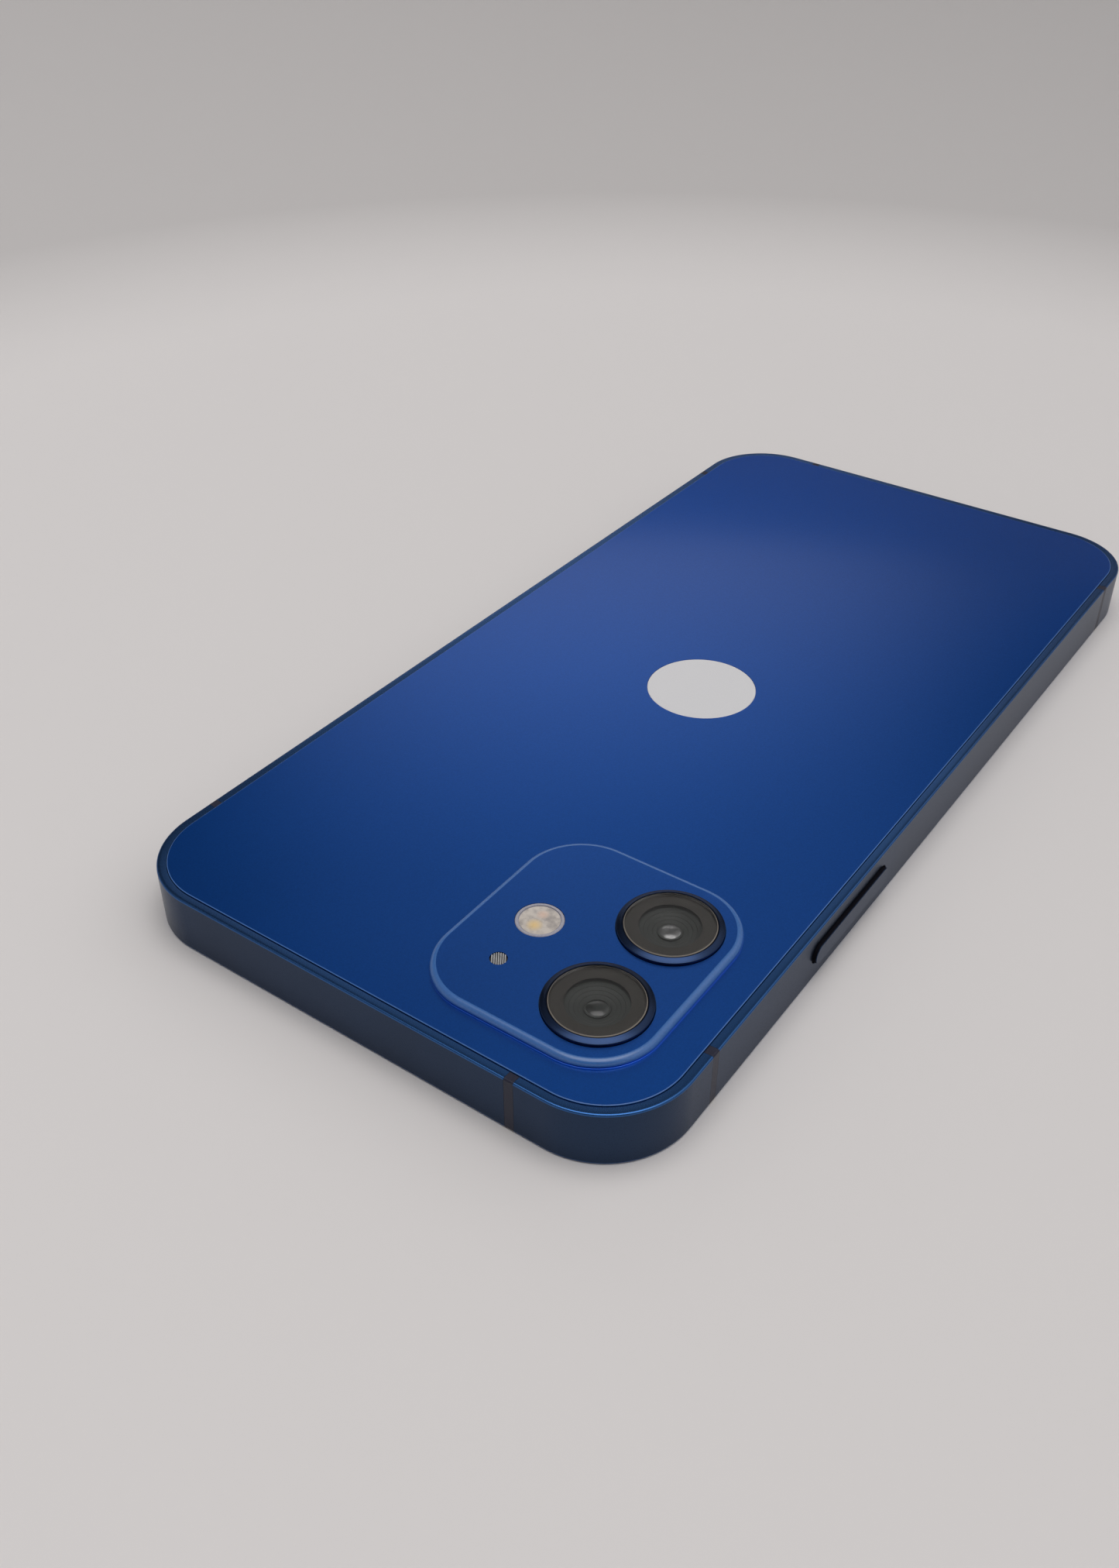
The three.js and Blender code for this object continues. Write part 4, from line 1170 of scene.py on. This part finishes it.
def build_screw(node):
    """A bottom screw with a plain hexagonal recess."""
    low, high = node_box(node)
    middle = node_middle(node)
    edge = 0.08
    neck = low.y + SCREW_HEAD_DEPTH
    head, shank = disc(SCREW_HEAD), disc(SCREW_RADIUS)
    rows = [(low.y, disc(SCREW_HEAD - edge)), (low.y + edge, head), (neck, head)]
    rows += [(neck + JOIN_GAP, shank), (high.y, shank)]
    screw = solid(node + "_fine", [end_shell(middle.x, middle.z, rows)], STEEL)
    recess = circle(0, 0, SCREW_SOCKET, 6)
    carve(screw, [end_shell(middle.x, middle.z, [(low.y - 1, recess), (low.y + SCREW_SOCKET, recess)])])
    stand_for(screw, node)


def build_port_tongue():
    """The charging port's tongue, with a row of contacts on each of its faces."""
    node = "charging_port_tongue"
    low, high = node_box(node)
    middle = node_middle(node)
    half_x = node_half(node).x
    half_z = node_half(node).z - CONTACT_HEIGHT
    rounding = 0.12
    rows = [
        (low.y, centred_rect(half_x - rounding, half_z - rounding, rounding)),
        (low.y + rounding, centred_rect(half_x, half_z, rounding)),
        (high.y, centred_rect(half_x, half_z, rounding)),
    ]
    stand_for(solid(node + "_fine", [end_shell(middle.x, middle.z, rows)], BLACK_PLASTIC), node)
    contacts = 8
    pitch = 2 * (half_x - 0.3) / contacts
    shells = []
    for i in range(contacts):
        x = low.x + 0.3 + pitch * (i + 0.5)
        for bottom, top in ((low.z, middle.z - half_z), (middle.z + half_z, high.z)):
            shells.append(block((x - 0.18, low.y + 0.5, bottom), (x + 0.18, high.y - 0.6, top)))
    go_with(solid("charging_port_contacts", shells, GOLD), node)


# ---- Front ----


def build_display_glass():
    """The front glass: a black border round the dark screen, with a notch and the modules' windows."""
    bm = bmesh.new()
    edge = reversed(quarter(4, 0.12, 0.12))
    rings = [at_height(phone_outline(GLASS_INSET + inward), COVER_LOW.z + down) for inward, down in edge]
    made = loft(bm, [*rings, at_height(phone_outline(GLASS_INSET), COVER_HIGH.z)])
    front = made[0]
    bm.faces.new(made[-1])
    screen = loft(bm, [at_height(screen_outline(), COVER_LOW.z)])[0]
    windows = []
    for node in ("front_camera_module", "face_sensor_module"):
        middle = node_middle(node)
        window = circle(middle.x, middle.y, WINDOW_RADIUS, SMALL_STEPS)
        windows += loft(bm, [at_height(window, COVER_LOW.z)])
    fill(bm, [front, screen, *windows])
    fill(bm, [screen], 1)
    for window in windows:
        fill(bm, [window], 2)
    glass = to_object("display_cover_glass_fine", bm, DISPLAY_BORDER, DISPLAY_SCREEN, DISPLAY_WINDOW)
    mesh_low, mesh_high = node_box("earpiece_mesh")
    slot = block((mesh_low.x - 0.05, mesh_low.y - 0.05, -1), (mesh_high.x + 0.05, HALF_LENGTH, 2))
    carve(glass, [slot])
    stand_for(glass, "display_cover_glass")


def screen_outline():
    """The lit area's outline, with the notch cut from its upper edge."""
    border = 3.6
    half_x = HALF_WIDTH - border
    half_y = HALF_LENGTH - border
    radius = CORNER_RADIUS - border
    notch_half, notch_depth, notch_round = 17.5, 5.4, 3.0
    outline = rounded_rect((-half_x, -half_y), (half_x, half_y), radius, 12)
    corners = len(outline) // 4
    right, left = outline[: 2 * corners], outline[2 * corners:]
    foot = half_y - notch_depth
    notch = [
        (notch_half, half_y),
        *arc(notch_half - notch_round, foot + notch_round, notch_round, 0, -90, 10),
        *arc(-notch_half + notch_round, foot + notch_round, notch_round, -90, -180, 10),
        (-notch_half, half_y),
    ]
    return right + notch + left


def build_earpiece():
    """The earpiece grille: a row of thin bars over a dark floor."""
    low, high = node_box("earpiece_mesh")
    floor_low = low.z + 0.12
    floor = solid("earpiece_floor", [block((low.x, low.y, floor_low), tuple(high))], BLACK_PLASTIC)
    stand_for(floor, "earpiece_mesh")
    pitch = 0.3
    count = int((high.x - low.x) / pitch)
    start = (low.x + high.x) / 2 - (count - 1) * pitch / 2
    shells = []
    for i in range(count):
        x = start + i * pitch
        shells.append(block((x - 0.08, low.y + 0.02, low.z), (x + 0.08, high.y - 0.02, floor_low - 0.005)))
    go_with(solid("earpiece_bars", shells, BAR_METAL), "earpiece_mesh")


# ---- Nodes that stay as they are ----


def finish_nodes():
    """Gives each CAD node its procedural material. The replaced ones don't show."""
    for node, obj in frame["nodes"].items():
        finish = NODE_FINISHES.get(SLOTS[node], BLACK_PLASTIC)
        for slot in obj.material_slots:
            slot.material = finish


# ---- Stage ----

VIEW_AZIMUTH = 215.209
VIEW_ELEVATION = 36.673
VIEW_ROLL = -0.174
VIEW_TARGET = (8.817, 22.595, 0.0)
VIEW_DISTANCE = 195.144
LENS_LENGTH = 33.672

# The light tent's floor in metres: flat out to one radius, then curving up through an angle in degrees.
TENT_FLAT = 0.175
TENT_CURVE = 0.25
TENT_TURN = 78

# The studio's even level, and its glows as rows of (side, elevation, spread, level) in degrees.
SKY_LEVEL = 0.02
SKY_GLOWS = (
    (0, 90, 34, 2.6),
    (-90, 40, 60, 0.25),
    (90, 40, 60, 0.80),
    (2, 36, 18, 0.18),
    (0, 12, 30, 0.95),
)
SKY_COLOUR = (1.0, 0.975, 0.97, 1.0)


def add_camera():
    data = bpy.data.cameras.new("camera")
    data.sensor_width = 36.0
    data.lens = LENS_LENGTH
    data.clip_start = 0.005
    azimuth = math.radians(VIEW_AZIMUTH)
    elevation = math.radians(VIEW_ELEVATION)
    level = math.cos(elevation)
    towards = Vector((math.sin(azimuth) * level, -math.cos(azimuth) * level, math.sin(elevation)))
    camera = link("camera", data)
    camera.location = (Vector(VIEW_TARGET) + towards * VIEW_DISTANCE) * MM
    camera.rotation_euler = (-towards).to_track_quat("-Z", "Y").to_euler()
    camera.rotation_euler.rotate_axis("Z", math.radians(-VIEW_ROLL))
    bpy.context.scene.camera = camera


def add_floor():
    """A pale floor that curves up all round, as in a light tent, with painted shade darkening its rising
    wall.
    """
    turns = [math.radians(TENT_TURN) * i / 24 for i in range(25)]
    section = [(TENT_FLAT / 2, 0.0)]
    section += [(TENT_FLAT + TENT_CURVE * math.sin(a), TENT_CURVE * (1 - math.cos(a))) for a in turns]
    bm = bmesh.new()
    rings = loft(bm, [at_height(circle(0, 0, radius / MM), height / MM) for radius, height in section])
    bm.faces.new(rings[0])
    for face in bm.faces:
        face.smooth = True
    link("floor", to_mesh("floor", bm, tent_cloth_painted_shade()))


def compass(side, elevation):
    """A unit vector at an elevation, its side counted clockwise in degrees from straight ahead."""
    turn = math.radians(side - VIEW_AZIMUTH)
    level = math.cos(math.radians(elevation))
    return Vector((math.sin(turn) * level, math.cos(turn) * level, math.sin(math.radians(elevation))))


def set_world():
    """A dim room with soft glows, each a round patch of sky that fades out from its middle."""
    world = bpy.data.worlds.new("studio")
    world.use_nodes = True
    nodes = world.node_tree.nodes
    links = world.node_tree.links
    direction = nodes.new("ShaderNodeTexCoord").outputs["Generated"]
    total = None
    for side, elevation, spread, level in SKY_GLOWS:
        aim = nodes.new("ShaderNodeVectorMath")
        aim.operation = "DOT_PRODUCT"
        aim.inputs[1].default_value = compass(side, elevation)
        links.new(direction, aim.inputs[0])
        edge = math.cos(math.radians(spread))
        patch = add_node(nodes, "MapRange", From_Min=edge, From_Max=1.0, To_Min=0.0, To_Max=level)
        patch.interpolation_type = "SMOOTHERSTEP"
        links.new(aim.outputs["Value"], patch.inputs["Value"])
        added = nodes.new("ShaderNodeMath")
        added.inputs[1].default_value = SKY_LEVEL
        if total is not None:
            links.new(total, added.inputs[1])
        links.new(patch.outputs["Result"], added.inputs[0])
        total = added.outputs["Value"]
    background = nodes["Background"]
    background.inputs["Color"].default_value = SKY_COLOUR
    links.new(total, background.inputs["Strength"])
    bpy.context.scene.world = world


# ---- Assembly ----

add_camera()
set_world()
add_floor()
bpy.context.scene.view_settings.view_transform = "Standard"

finish_nodes()
build_frame()
build_back_glass()
build_mark()
for lens in LENSES:
    build_lens_ring(lens)
    build_lens_cover(lens)
    build_lens_barrel(lens)
build_flash()
build_microphone()
build_button(-1, "side_button")
build_button(1, "volume_up_button")
build_button(1, "volume_down_button")
build_ring_switch()
build_tray()
build_screw("bottom_screw_left")
build_screw("bottom_screw_right")
build_port_tongue()
build_display_glass()
build_earpiece()

bpy.context.view_layer.update()
